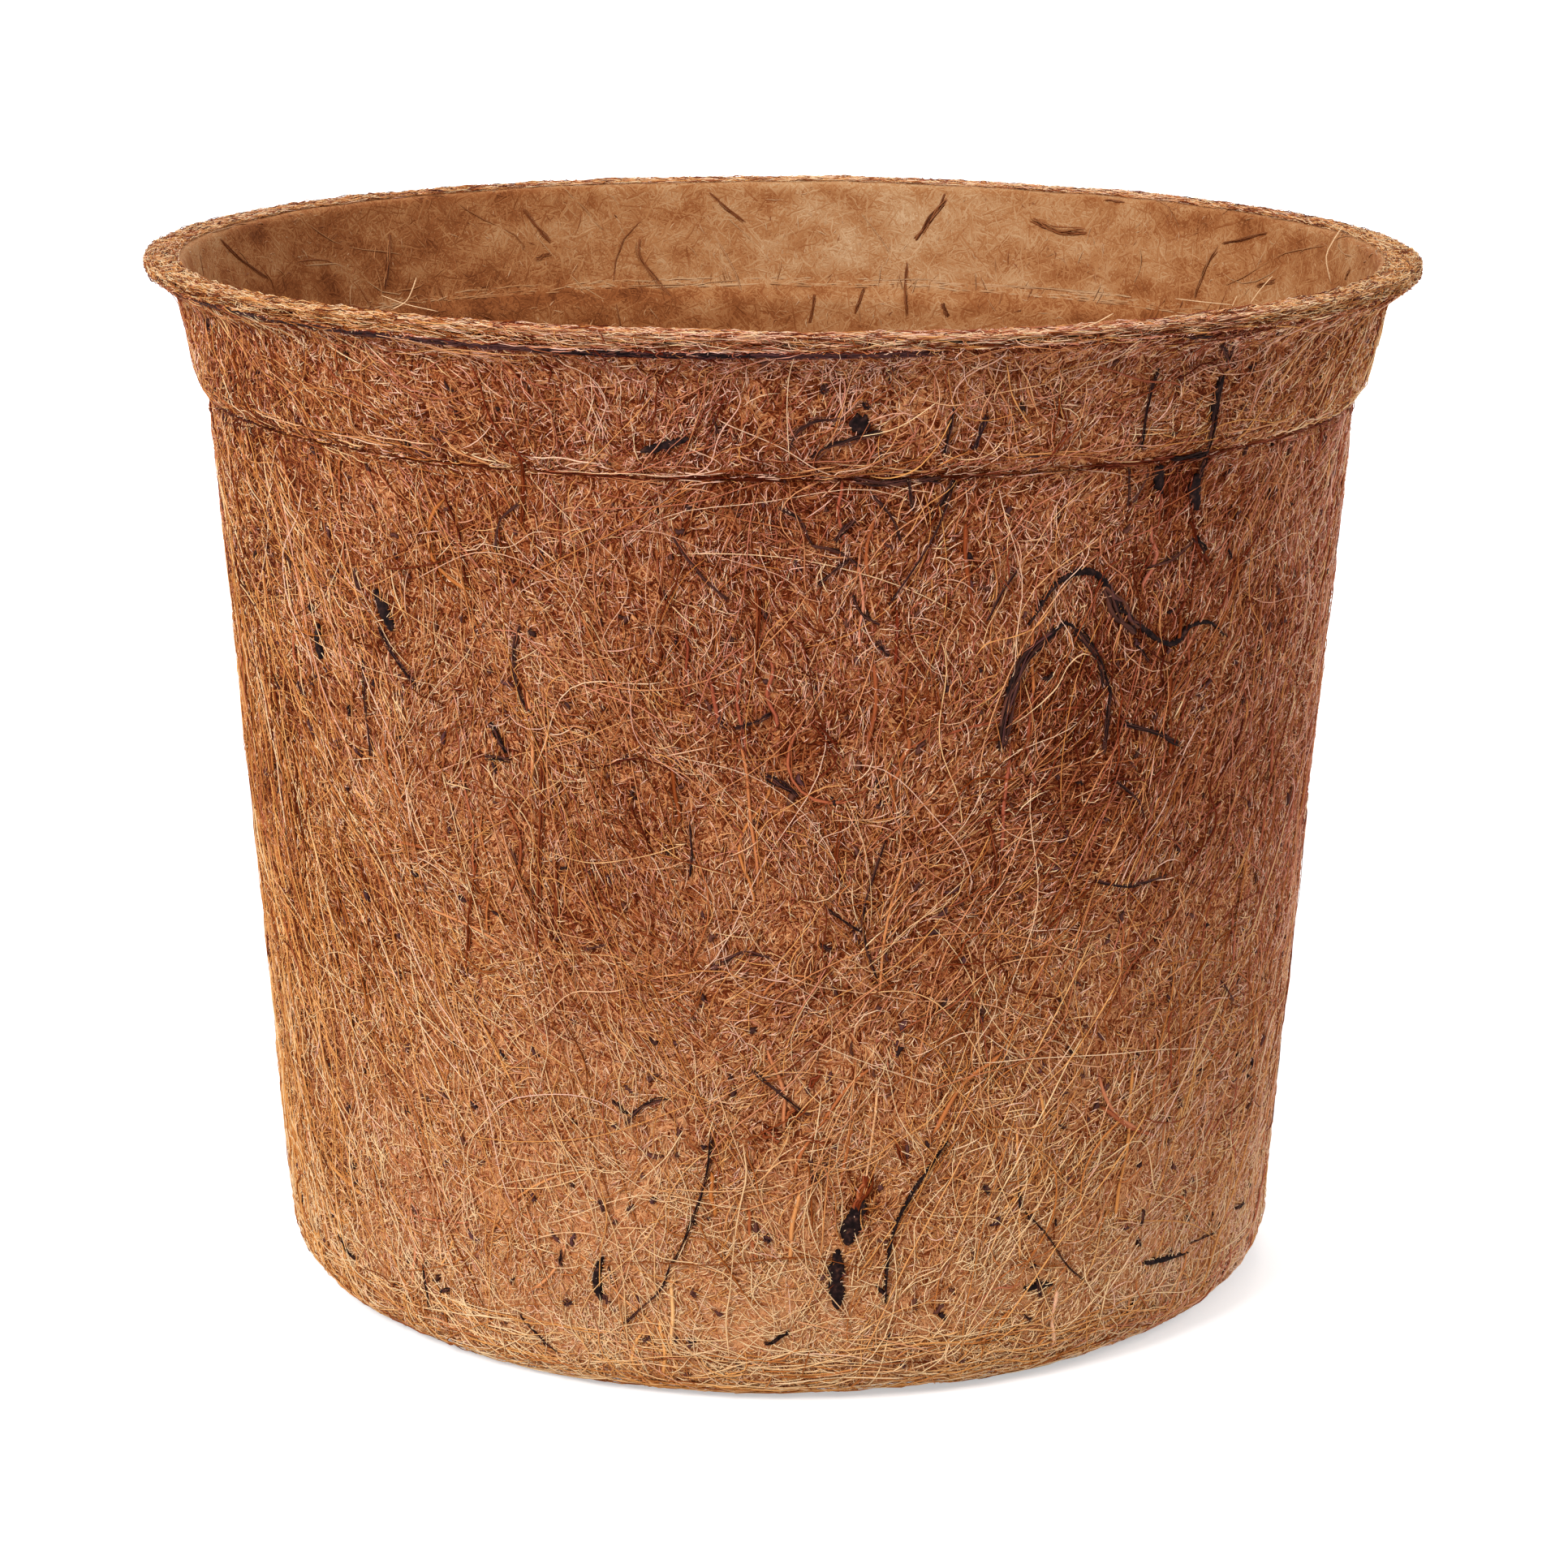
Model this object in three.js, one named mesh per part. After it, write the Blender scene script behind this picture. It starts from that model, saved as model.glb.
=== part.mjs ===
// Coir pot: a round plant pot hot-pressed from two plies of coconut-fibre felt bonded with latex.
// Each ply is a wall blank with its foot turned in under the pot, and a base disc that fills the turned-in foot.
// Flakes and strips of dark husk lie on the outer face where the mould pressed them in.
// Millimetres, +Z up along the pot's axis, origin at the centre of the underside, the front faces -Y.

import * as THREE from 'three';

// Outside of the pot
const baseDiameter = 119; // across the underside, to the corner before it is rounded
const wallHeight = 106.4; // underside to the crease under the collar
const wallTaper = 4.46; // degrees that the wall leans out
const stepDepth = 1.5; // how far the collar stands out from the wall
const stepRise = 2.2; // height over which it does so
const collarHeight = 16; // crease to the top of the rim
const collarFlare = 12.1; // degrees that the collar leans out
const rimOverhang = 2.75; // lip beyond the line of the collar
const lipHeight = 1.3; // edge of the rim, where both plies are pressed thin, and the bond line
const flangeSlope = 36; // degrees that the underside of the rim climbs

// Rounded corners
const baseCornerRadius = 6;
const creaseRadius = 0.6;
const collarEdgeRadius = 2;
const flangeRadius = 2.5;
const lipRadius = 0.2;
const mouthRadius = 1.2;
const sharpestRadius = 0.15; // a corner pressed against the mould is never quite sharp

// Felt
const plyThickness = 1;
const bondGap = 0.3; // latex bond line between neighbours
const outerHemWidth = 15; // foot of the outer ply turned in under the pot
const innerHemWidth = 9; // shorter, so that the two seams in the base don't line up
const drainDiameter = 12;

// Husk flakes and strips
const huskThickness = 0.5;
const huskTipWidth = 0.3; // width at the two ends, as a share of the full width
const huskSteps = 10; // sections along one piece
const huskGrid = 1; // one unit of the widths and heights that husk pieces are drawn with

// Facets
const turnSegments = 48; // round the pot
const arcStepDegrees = 20; // along a rounded corner

const feltColour = '#b8733c';
const liningColour = '#b57a42';
const huskColour = '#35231f';

const radians = THREE.MathUtils.degToRad;

// Profiles: a corner is a point of the section, in radius and height, with the radius that rounds it

const corner = (radius, height, rounding = 0) => ({ at: new THREE.Vector2(radius, height), rounding });

const potHeight = wallHeight + collarHeight;
const baseRadius = baseDiameter / 2;
const wallTopRadius = baseRadius + wallHeight * Math.tan(radians(wallTaper));
const collarFoot = new THREE.Vector2(wallTopRadius + stepDepth, wallHeight + stepRise);
const collarRadiusAt = (height) => collarFoot.x + (height - collarFoot.y) * Math.tan(radians(collarFlare));
const rimRadius = collarRadiusAt(potHeight) + rimOverhang;
const lipBottom = potHeight - lipHeight;
const plyLipHeight = (lipHeight - bondGap) / 2;

// Where the sloping underside of the rim meets the line of the collar
function flangeRoot() {
  const climb = Math.tan(radians(flangeSlope));
  const lean = Math.tan(radians(collarFlare));
  const drop = (lipBottom - collarFoot.y - climb * (rimRadius - collarFoot.x)) / (1 - climb * lean);
  const height = collarFoot.y + drop;
  return new THREE.Vector2(collarRadiusAt(height), height);
}

// The four straight runs of the outer face that every other face of the felt lies parallel to
const underside = { from: new THREE.Vector2(0, 0), to: new THREE.Vector2(baseRadius, 0) };
const wall = { from: underside.to, to: new THREE.Vector2(wallTopRadius, wallHeight) };
const step = { from: wall.to, to: collarFoot };
const collar = { from: collarFoot, to: new THREE.Vector2(collarRadiusAt(potHeight), potHeight) };

// A run moved into the felt by a depth, square to itself
function inset(run, depth) {
  const along = run.to.clone().sub(run.from).normalize();
  const inward = new THREE.Vector2(-along.y, along.x).multiplyScalar(depth);
  return { from: run.from.clone().add(inward), to: run.to.clone().add(inward) };
}

function crossing(runA, runB) {
  const a = runA.to.clone().sub(runA.from);
  const b = runB.to.clone().sub(runB.from);
  const between = runB.from.clone().sub(runA.from);
  const share = between.cross(b) / a.cross(b);
  return runA.from.clone().addScaledVector(a, share);
}

const level = (height) => ({ from: new THREE.Vector2(0, height), to: new THREE.Vector2(1, height) });

// Corners of the face that lies at a depth in the felt, from the edge of the turned-in foot to the collar
function faceCorners(depth, footRadius) {
  const runs = [underside, wall, step, collar].map((run) => inset(run, depth));
  const roundings = [baseCornerRadius - depth, creaseRadius + depth, collarEdgeRadius - depth];
  const bends = roundings.map((rounding, index) => {
    const at = crossing(runs[index], runs[index + 1]);
    return { at, rounding: Math.max(rounding, sharpestRadius) };
  });
  return [corner(footRadius, depth), ...bends];
}

// The corner where a face that lies at a depth in the felt turns out over the rim at a height
function mouthCorner(depth, height, rounding) {
  const at = crossing(inset(collar, depth), level(height));
  return { at, rounding };
}

// Rounds the corners of a closed outline with arcs
function roundedOutline(corners) {
  const points = [];
  corners.forEach(({ at, rounding }, index) => {
    const before = corners[(index + corners.length - 1) % corners.length].at;
    const after = corners[(index + 1) % corners.length].at;
    if (rounding === 0) {
      points.push(at.clone());
      return;
    }
    const back = before.clone().sub(at).normalize();
    const ahead = after.clone().sub(at).normalize();
    const opening = Math.acos(THREE.MathUtils.clamp(back.dot(ahead), -1, 1));
    const bisector = back.clone().add(ahead).normalize();
    const centre = at.clone().addScaledVector(bisector, rounding / Math.sin(opening / 2));
    const tangentLength = rounding / Math.tan(opening / 2);
    const start = at.clone().addScaledVector(back, tangentLength).sub(centre);
    const turn = (Math.PI - opening) * -Math.sign(back.cross(ahead));
    const steps = Math.max(1, Math.ceil(Math.abs(turn) / radians(arcStepDegrees)));
    for (let i = 0; i <= steps; i += 1) {
      const arm = start.clone().rotateAround(new THREE.Vector2(), (turn * i) / steps);
      points.push(centre.clone().add(arm));
    }
  });
  return points;
}

// Turns a closed outline about the pot's axis
function revolve(outline) {
  const geometry = new THREE.LatheGeometry([...outline, outline[0].clone()], turnSegments);
  geometry.rotateX(Math.PI / 2);
  return geometry;
}

// Felt pieces

function wallPly(outerDepth, hemWidth, lipFloor, outerMouth) {
  const innerDepth = outerDepth + plyThickness;
  const footRadius = baseRadius - hemWidth;
  const outerFace = [...faceCorners(outerDepth, footRadius), ...outerMouth];
  const innerFace = [
    corner(rimRadius, lipFloor + plyLipHeight, lipRadius),
    mouthCorner(innerDepth, lipFloor + plyLipHeight, mouthRadius),
    ...faceCorners(innerDepth, footRadius).reverse(),
  ];
  return revolve(roundedOutline([...outerFace, ...innerFace]));
}

function outerWallPly() {
  const root = flangeRoot();
  const lip = [corner(root.x, root.y, flangeRadius), corner(rimRadius, lipBottom, lipRadius)];
  return wallPly(0, outerHemWidth, lipBottom, lip);
}

function innerWallPly() {
  const depth = plyThickness + bondGap;
  const lipFloor = potHeight - plyLipHeight;
  const lip = [mouthCorner(depth, lipFloor, mouthRadius + plyThickness), corner(rimRadius, lipFloor, lipRadius)];
  return wallPly(depth, innerHemWidth, lipFloor, lip);
}

function baseDisc(floor, hemWidth) {
  const edge = baseRadius - hemWidth - bondGap;
  const drain = drainDiameter / 2;
  const outline = [
    new THREE.Vector2(drain, floor),
    new THREE.Vector2(edge, floor),
    new THREE.Vector2(edge, floor + plyThickness),
    new THREE.Vector2(drain, floor + plyThickness),
  ];
  return revolve(outline);
}

// Husk pieces

// Outside of the pot as one rising line, base corner to lip
const outsideLine = roundedOutline([
  ...faceCorners(0, 0),
  corner(flangeRoot().x, flangeRoot().y, flangeRadius),
  corner(rimRadius, lipBottom),
  corner(0, lipBottom),
]);

function outsideRadiusAt(height) {
  for (let i = 1; i < outsideLine.length; i += 1) {
    const low = outsideLine[i - 1];
    const high = outsideLine[i];
    if (low.x > 0 && height >= low.y && height <= high.y && high.y > low.y) {
      return THREE.MathUtils.mapLinear(height, low.y, high.y, low.x, high.x);
    }
  }
  return rimRadius;
}

// A flake or strip laid on the outside along a route of [degrees round from the front, height], widest in the middle
function huskPiece(route, width) {
  const middleHeight = route[Math.floor(route.length / 2)][1];
  const arcPerDegree = radians(outsideRadiusAt(middleHeight));
  const flat = new THREE.SplineCurve(route.map(([angle, height]) => new THREE.Vector2(angle * arcPerDegree, height)));
  const positions = [];
  const place = (spot, lift) => {
    const radius = outsideRadiusAt(spot.y) + bondGap + lift;
    const angle = radians(spot.x / arcPerDegree);
    positions.push(radius * Math.sin(angle), -radius * Math.cos(angle), spot.y);
  };
  for (let i = 0; i <= huskSteps; i += 1) {
    const share = i / huskSteps;
    const middle = flat.getPointAt(share);
    const along = flat.getTangentAt(share);
    const swell = huskTipWidth + (1 - huskTipWidth) * Math.sin(Math.PI * share);
    const across = new THREE.Vector2(along.y, -along.x).multiplyScalar((width / 2) * swell);
    place(middle.clone().sub(across), 0);
    place(middle.clone().add(across), 0);
    place(middle.clone().add(across), huskThickness);
    place(middle.clone().sub(across), huskThickness);
  }
  const corners = 4;
  const faces = [0, 1, 2, 0, 2, 3];
  const last = huskSteps * corners;
  faces.push(last, last + 2, last + 1, last, last + 3, last + 2);
  for (let i = 0; i < huskSteps; i += 1) {
    for (let side = 0; side < corners; side += 1) {
      const here = i * corners + side;
      const beside = i * corners + ((side + 1) % corners);
      faces.push(here, here + corners, beside + corners, here, beside + corners, beside);
    }
  }
  const geometry = new THREE.BufferGeometry();
  geometry.setAttribute('position', new THREE.Float32BufferAttribute(positions, 3));
  geometry.setIndex(faces);
  geometry.computeVertexNormals();
  return geometry;
}

const fromBase = (angle, height) => [angle, height * huskGrid];
const fromStep = (angle, height) => [angle, wallHeight + height * huskGrid];

// Routes are read off the photographed front; heights are above the underside, or above and below the step
const huskPieces = [
  { name: 'husk_flake_lower_oval', width: 3, route: [fromBase(8.3, 27), fromBase(7.2, 20)] },
  { name: 'husk_flake_lower_long', width: 1.7, route: [fromBase(6.3, 19), fromBase(6.4, 11.5)] },
  { name: 'husk_flake_lower_left', width: 1.4, route: [fromBase(-19.2, 17), fromBase(-19.9, 12)] },
  { name: 'husk_flake_lower_right', width: 1.1, route: [fromBase(26.4, 13), fromBase(29.4, 12.6)] },
  { name: 'husk_flake_base_right', width: 1.3, route: [fromBase(44, 11), fromBase(52, 10.4)] },
  { name: 'husk_flake_left', width: 1.8, route: [fromStep(-41.2, -15.2), fromStep(-39, -20)] },
  { name: 'husk_flake_far_left', width: 1.3, route: [fromStep(-51.9, -20), fromStep(-51.7, -24.6)] },
  { name: 'husk_flake_under_step', width: 1.5, route: [fromStep(42.4, -1.4), fromStep(42, -7.4)] },
  { name: 'husk_flake_beside_step', width: 1.3, route: [fromStep(36.8, -1.4), fromStep(37.2, -5)] },
  { name: 'husk_flake_collar_round', width: 2.4, route: [fromStep(5.6, 7.4), fromStep(7.4, 6)] },
  { name: 'husk_flake_collar_left', width: 1.3, route: [fromStep(-12, 3.6), fromStep(-7.8, 4.8)] },
  { name: 'husk_flake_collar_right', width: 1.2, route: [fromStep(41, 9.4), fromStep(41.4, 3.6)] },
  {
    name: 'husk_strip_arch',
    width: 1.2,
    route: [fromStep(23.4, -16.6), fromStep(27, -11.9), fromStep(30.6, -11.8), fromStep(35, -18.5)],
  },
  {
    name: 'husk_strip_arch_end',
    width: 1.1,
    route: [fromStep(36, -19.8), fromStep(39.4, -21.4), fromStep(42.4, -19.6), fromStep(47, -20.6)],
  },
  {
    name: 'husk_strip_low_arch',
    width: 1.2,
    route: [fromStep(21.4, -29), fromStep(24.4, -18.9), fromStep(28, -16.9), fromStep(32.6, -23.4)],
  },
  {
    name: 'husk_strip_lower',
    width: 0.8,
    route: [fromBase(16.9, 30.7), fromBase(13.8, 26.2), fromBase(11.6, 20), fromBase(11.6, 11)],
  },
];

// Assembly

const surface = (color, roughness) => new THREE.MeshStandardMaterial({ color, roughness, metalness: 0 });

function named(name, geometry, material) {
  const mesh = new THREE.Mesh(geometry, material);
  mesh.name = name;
  return mesh;
}

const pot = new THREE.Group();
pot.add(named('outer_wall_ply', outerWallPly(), surface(feltColour, 0.9)));
pot.add(named('outer_base_disc', baseDisc(0, outerHemWidth), surface(feltColour, 0.9)));
pot.add(named('inner_wall_ply', innerWallPly(), surface(liningColour, 0.9)));
pot.add(named('inner_base_disc', baseDisc(plyThickness + bondGap, innerHemWidth), surface(liningColour, 0.9)));
huskPieces.forEach(({ name, route, width }) => {
  pot.add(named(name, huskPiece(route, width * huskGrid), surface(huskColour, 0.7)));
});

export default pot;
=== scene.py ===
"""Coir pot: two plies of felt, the fibres that make their faces, and the husk pressed into them.

Sections and routes are in millimetres, and a mesh is turned into metres when it is made.
A place on the pot is a length s along its section, from the underside round the rim to the inside floor,
an angle theta round the axis from the front (-Y) towards +X, and a lift off the face.
"""

import math
from dataclasses import dataclass

import bpy
import numpy as np
from mathutils import Matrix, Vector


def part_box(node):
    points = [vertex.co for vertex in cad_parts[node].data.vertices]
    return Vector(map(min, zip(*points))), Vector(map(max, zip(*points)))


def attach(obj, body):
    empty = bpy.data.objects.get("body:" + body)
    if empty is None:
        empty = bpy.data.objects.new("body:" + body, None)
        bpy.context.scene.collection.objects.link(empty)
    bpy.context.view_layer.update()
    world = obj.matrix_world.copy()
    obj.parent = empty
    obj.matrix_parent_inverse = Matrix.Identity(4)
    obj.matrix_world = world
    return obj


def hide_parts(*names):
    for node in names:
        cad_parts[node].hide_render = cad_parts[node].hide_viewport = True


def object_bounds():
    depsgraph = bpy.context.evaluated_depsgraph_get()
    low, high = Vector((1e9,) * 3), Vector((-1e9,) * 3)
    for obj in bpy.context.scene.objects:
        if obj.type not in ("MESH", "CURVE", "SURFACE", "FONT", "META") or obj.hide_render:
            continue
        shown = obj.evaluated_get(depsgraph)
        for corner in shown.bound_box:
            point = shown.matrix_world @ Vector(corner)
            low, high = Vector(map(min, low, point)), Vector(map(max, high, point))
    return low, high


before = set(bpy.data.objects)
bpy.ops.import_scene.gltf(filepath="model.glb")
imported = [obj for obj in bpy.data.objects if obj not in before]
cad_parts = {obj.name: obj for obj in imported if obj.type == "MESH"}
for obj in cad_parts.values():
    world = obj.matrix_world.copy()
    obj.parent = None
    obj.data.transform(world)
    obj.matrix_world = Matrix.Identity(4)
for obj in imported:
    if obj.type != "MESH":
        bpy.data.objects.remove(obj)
cad_low, cad_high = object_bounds()

MM = 0.001
TURN = 2 * math.pi

# Pot section
POT_HEIGHT = cad_high.z / MM
RIM_RADIUS = cad_high.x / MM
BASE_RADIUS = 59.5
WALL_HEIGHT = 106.4
WALL_TAPER = math.radians(4.46)
STEP_DEPTH = 1.5
STEP_RISE = 2.2
COLLAR_FLARE = math.radians(12.1)
LIP_HEIGHT = 1.3
RIM_WIDTH = 5.0  # of its flat top
FLANGE_SLOPE = math.radians(36)
FELT_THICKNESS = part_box("inner_base_disc")[1].z / MM
PLY_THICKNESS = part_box("outer_base_disc")[1].z / MM
DISC_GAP = 0.3  # between the foot of a ply and its base disc
SPLIT_GAP = 0.3  # between the plies at the rim
OUTER_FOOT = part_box("outer_base_disc")[1].x / MM + DISC_GAP
INNER_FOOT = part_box("inner_base_disc")[1].x / MM + DISC_GAP
DRAIN_RADIUS = 6.0
MEAN_RADIUS = 65  # of the wall
LEDGE_RADIUS = 66.5  # on the inside, over the step
LEDGE_HEIGHT = 109
NAP = 0.3  # the felt lies this far under the faces of the solids, and fibres fill the rest
LUMP_HEIGHT = 0.09
LUMP_HEIGHT_ON_DISCS = 0.08
BEND_HEIGHT = 0.12  # of slow bends in the wall
WAVE_PEAK = 1.6  # taken as the highest value of a random field against its root mean square

# Rounded corners, up the outside and down the inside
FOOT_ROUNDING = 6.0
CREASE_ROUNDING = 0.6
COLLAR_ROUNDING = 1.8
FLANGE_ROUNDING = 2.5
LIP_ROUNDING = 0.3
MOUTH_ROUNDING = 1.2
LEDGE_ROUNDING = 0.6
INNER_CREASE_ROUNDING = 2.5
INNER_FOOT_ROUNDING = 4.0

# Tone, where 0 is darkest and 1 palest
BLOTCHES = 0.05
# Painted light: the lower wall is made paler, as if lit by light thrown up from the floor
FOOT_PAINTED_BOUNCE = 0.34  # against the upper wall
FOOT_FADE = 0.55  # share of the height in which it gets paler
FOOT_EDGE_DARKER = 0.24
FOOT_EDGE_HEIGHT = 7
# Painted light on the collar, which faces a little downward and so gets less light from above
COLLAR_PAINTED_LIGHT = 0.01
# Painted shade that tempers the left lamp's light towards the left edge
LEFT_PAINTED_SHADE = 0.1  # at the left edge of the photographed side
LEFT_FROM = 0.6  # sine of the angle at which that starts
LEFT_RUN = 0.3
# Painted shade: a dark band under the overhanging lip
UNDER_RIM_PAINTED_SHADE = 0.3
UNDER_RIM_DROP = 0.8  # of the middle of that shade below the lip
UNDER_RIM_HALF = 0.7
INSIDE_DARKER = 0.035
INSIDE_MOTTLING = 0.1
# Painted shade on the inside wall below the ledge
UNDER_LEDGE_PAINTED_SHADE = 0.16  # on the inside under the step
UNDER_LEDGE_START = 0.6  # before the ledge
UNDER_LEDGE_RUN = 0.9
OUTER_PATCHES = 1.9  # how much of the tone the felt under the fibres takes on
INNER_PATCHES = 1.05

# Hue, where 0 is golden and 1 reddish
HUE_BLOTCHES = 0.16
UPPER_REDDER = 0.9
FLANK_REDDER = 0.12  # at the right edge of the photographed side
FLANK_FROM = 0.75  # sine of the angle at which that starts
FLANK_RUN = 0.2
RIGHT_REDDER = 0.25  # up to the crease, with the left as much more golden
SIDES_MORE_GOLDEN = 0.35  # above the crease
FOOT_REDDER = 0.15
RIM_FRONT_REDDER = 0.14

# Camera, fitted to the outline of the photographed pot
PHOTO_SIZE = 1932
FOCAL_PIXELS = 5469.2
CAMERA_DISTANCE = 525.0
CAMERA_HEIGHT = 188.1
CAMERA_PITCH = 0.245
CAMERA_ROLL = 0.0044
AXIS_PIXEL = 960.7  # column of the pot's axis
PIXELS_PER_MM = 11.5  # on the front of the wall
SENSOR_WIDTH = 36
SIGHT_BEFORE = 90  # a line of sight starts this much nearer than the pot's axis
SIGHT_BEYOND = 140
SIGHT_STEPS = 2400

# Husk in place of its solids: widths in millimetres at the two ends, and a route in photo pixels
HUSK = {
    "husk_flake_lower_oval": (1.7, 2.5, [(1064, 1478), (1052, 1503), (1043, 1533)]),
    "husk_flake_lower_long": (1.6, 1.9, [(1033, 1540), (1030, 1575), (1032, 1612)]),
    "husk_flake_lower_left": (0.8, 1.2, [(743, 1548), (735, 1575), (740, 1602)]),
    "husk_flake_lower_right": (0.9, 0.7, [(1262, 1588), (1279, 1584), (1297, 1582)]),
    "husk_flake_base_right": (0.9, 0.35, [(1410, 1557), (1436, 1552), (1464, 1543)]),
    "husk_flake_left": (1.3, 1.8, [(463, 726), (472, 750), (484, 777)]),
    "husk_flake_far_left": (0.9, 1.2, [(393, 768), (391, 790), (396, 812)]),
    "husk_flake_under_step": (1.9, 1.5, [(1477, 584), (1472, 605), (1475, 628)]),
    "husk_flake_beside_step": (1.8, 1.1, [(1430, 573), (1428, 590), (1431, 608)]),
    "husk_flake_collar_round": (1.8, 2.2, [(1046, 520), (1057, 522), (1071, 527)]),
    "husk_flake_collar_left": (1.1, 0.8, [(790, 556), (820, 549), (851, 540)]),
    "husk_flake_collar_right": (1.1, 0.9, [(1505, 465), (1500, 492), (1492, 517)]),
    "husk_strip_arch": (
        0.35, 1.1,
        [(1267, 770), (1295, 727), (1315, 711), (1335, 704), (1355, 709), (1370, 732), (1388, 758)],
    ),
    "husk_strip_arch_end": (
        0.9, 0.35,
        [(1392, 762), (1412, 777), (1437, 793), (1452, 790), (1465, 772), (1490, 767), (1512, 785)],
    ),
    "husk_strip_low_arch": (
        0.45, 0.55,
        [(1236, 905), (1242, 850), (1258, 820), (1282, 798), (1300, 776), (1317, 768), (1342, 796)],
    ),
    "husk_strip_lower": (
        0.28, 0.4,
        [(1167, 1405), (1145, 1437), (1120, 1477), (1102, 1515), (1093, 1560), (1091, 1605)],
    ),
}

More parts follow.
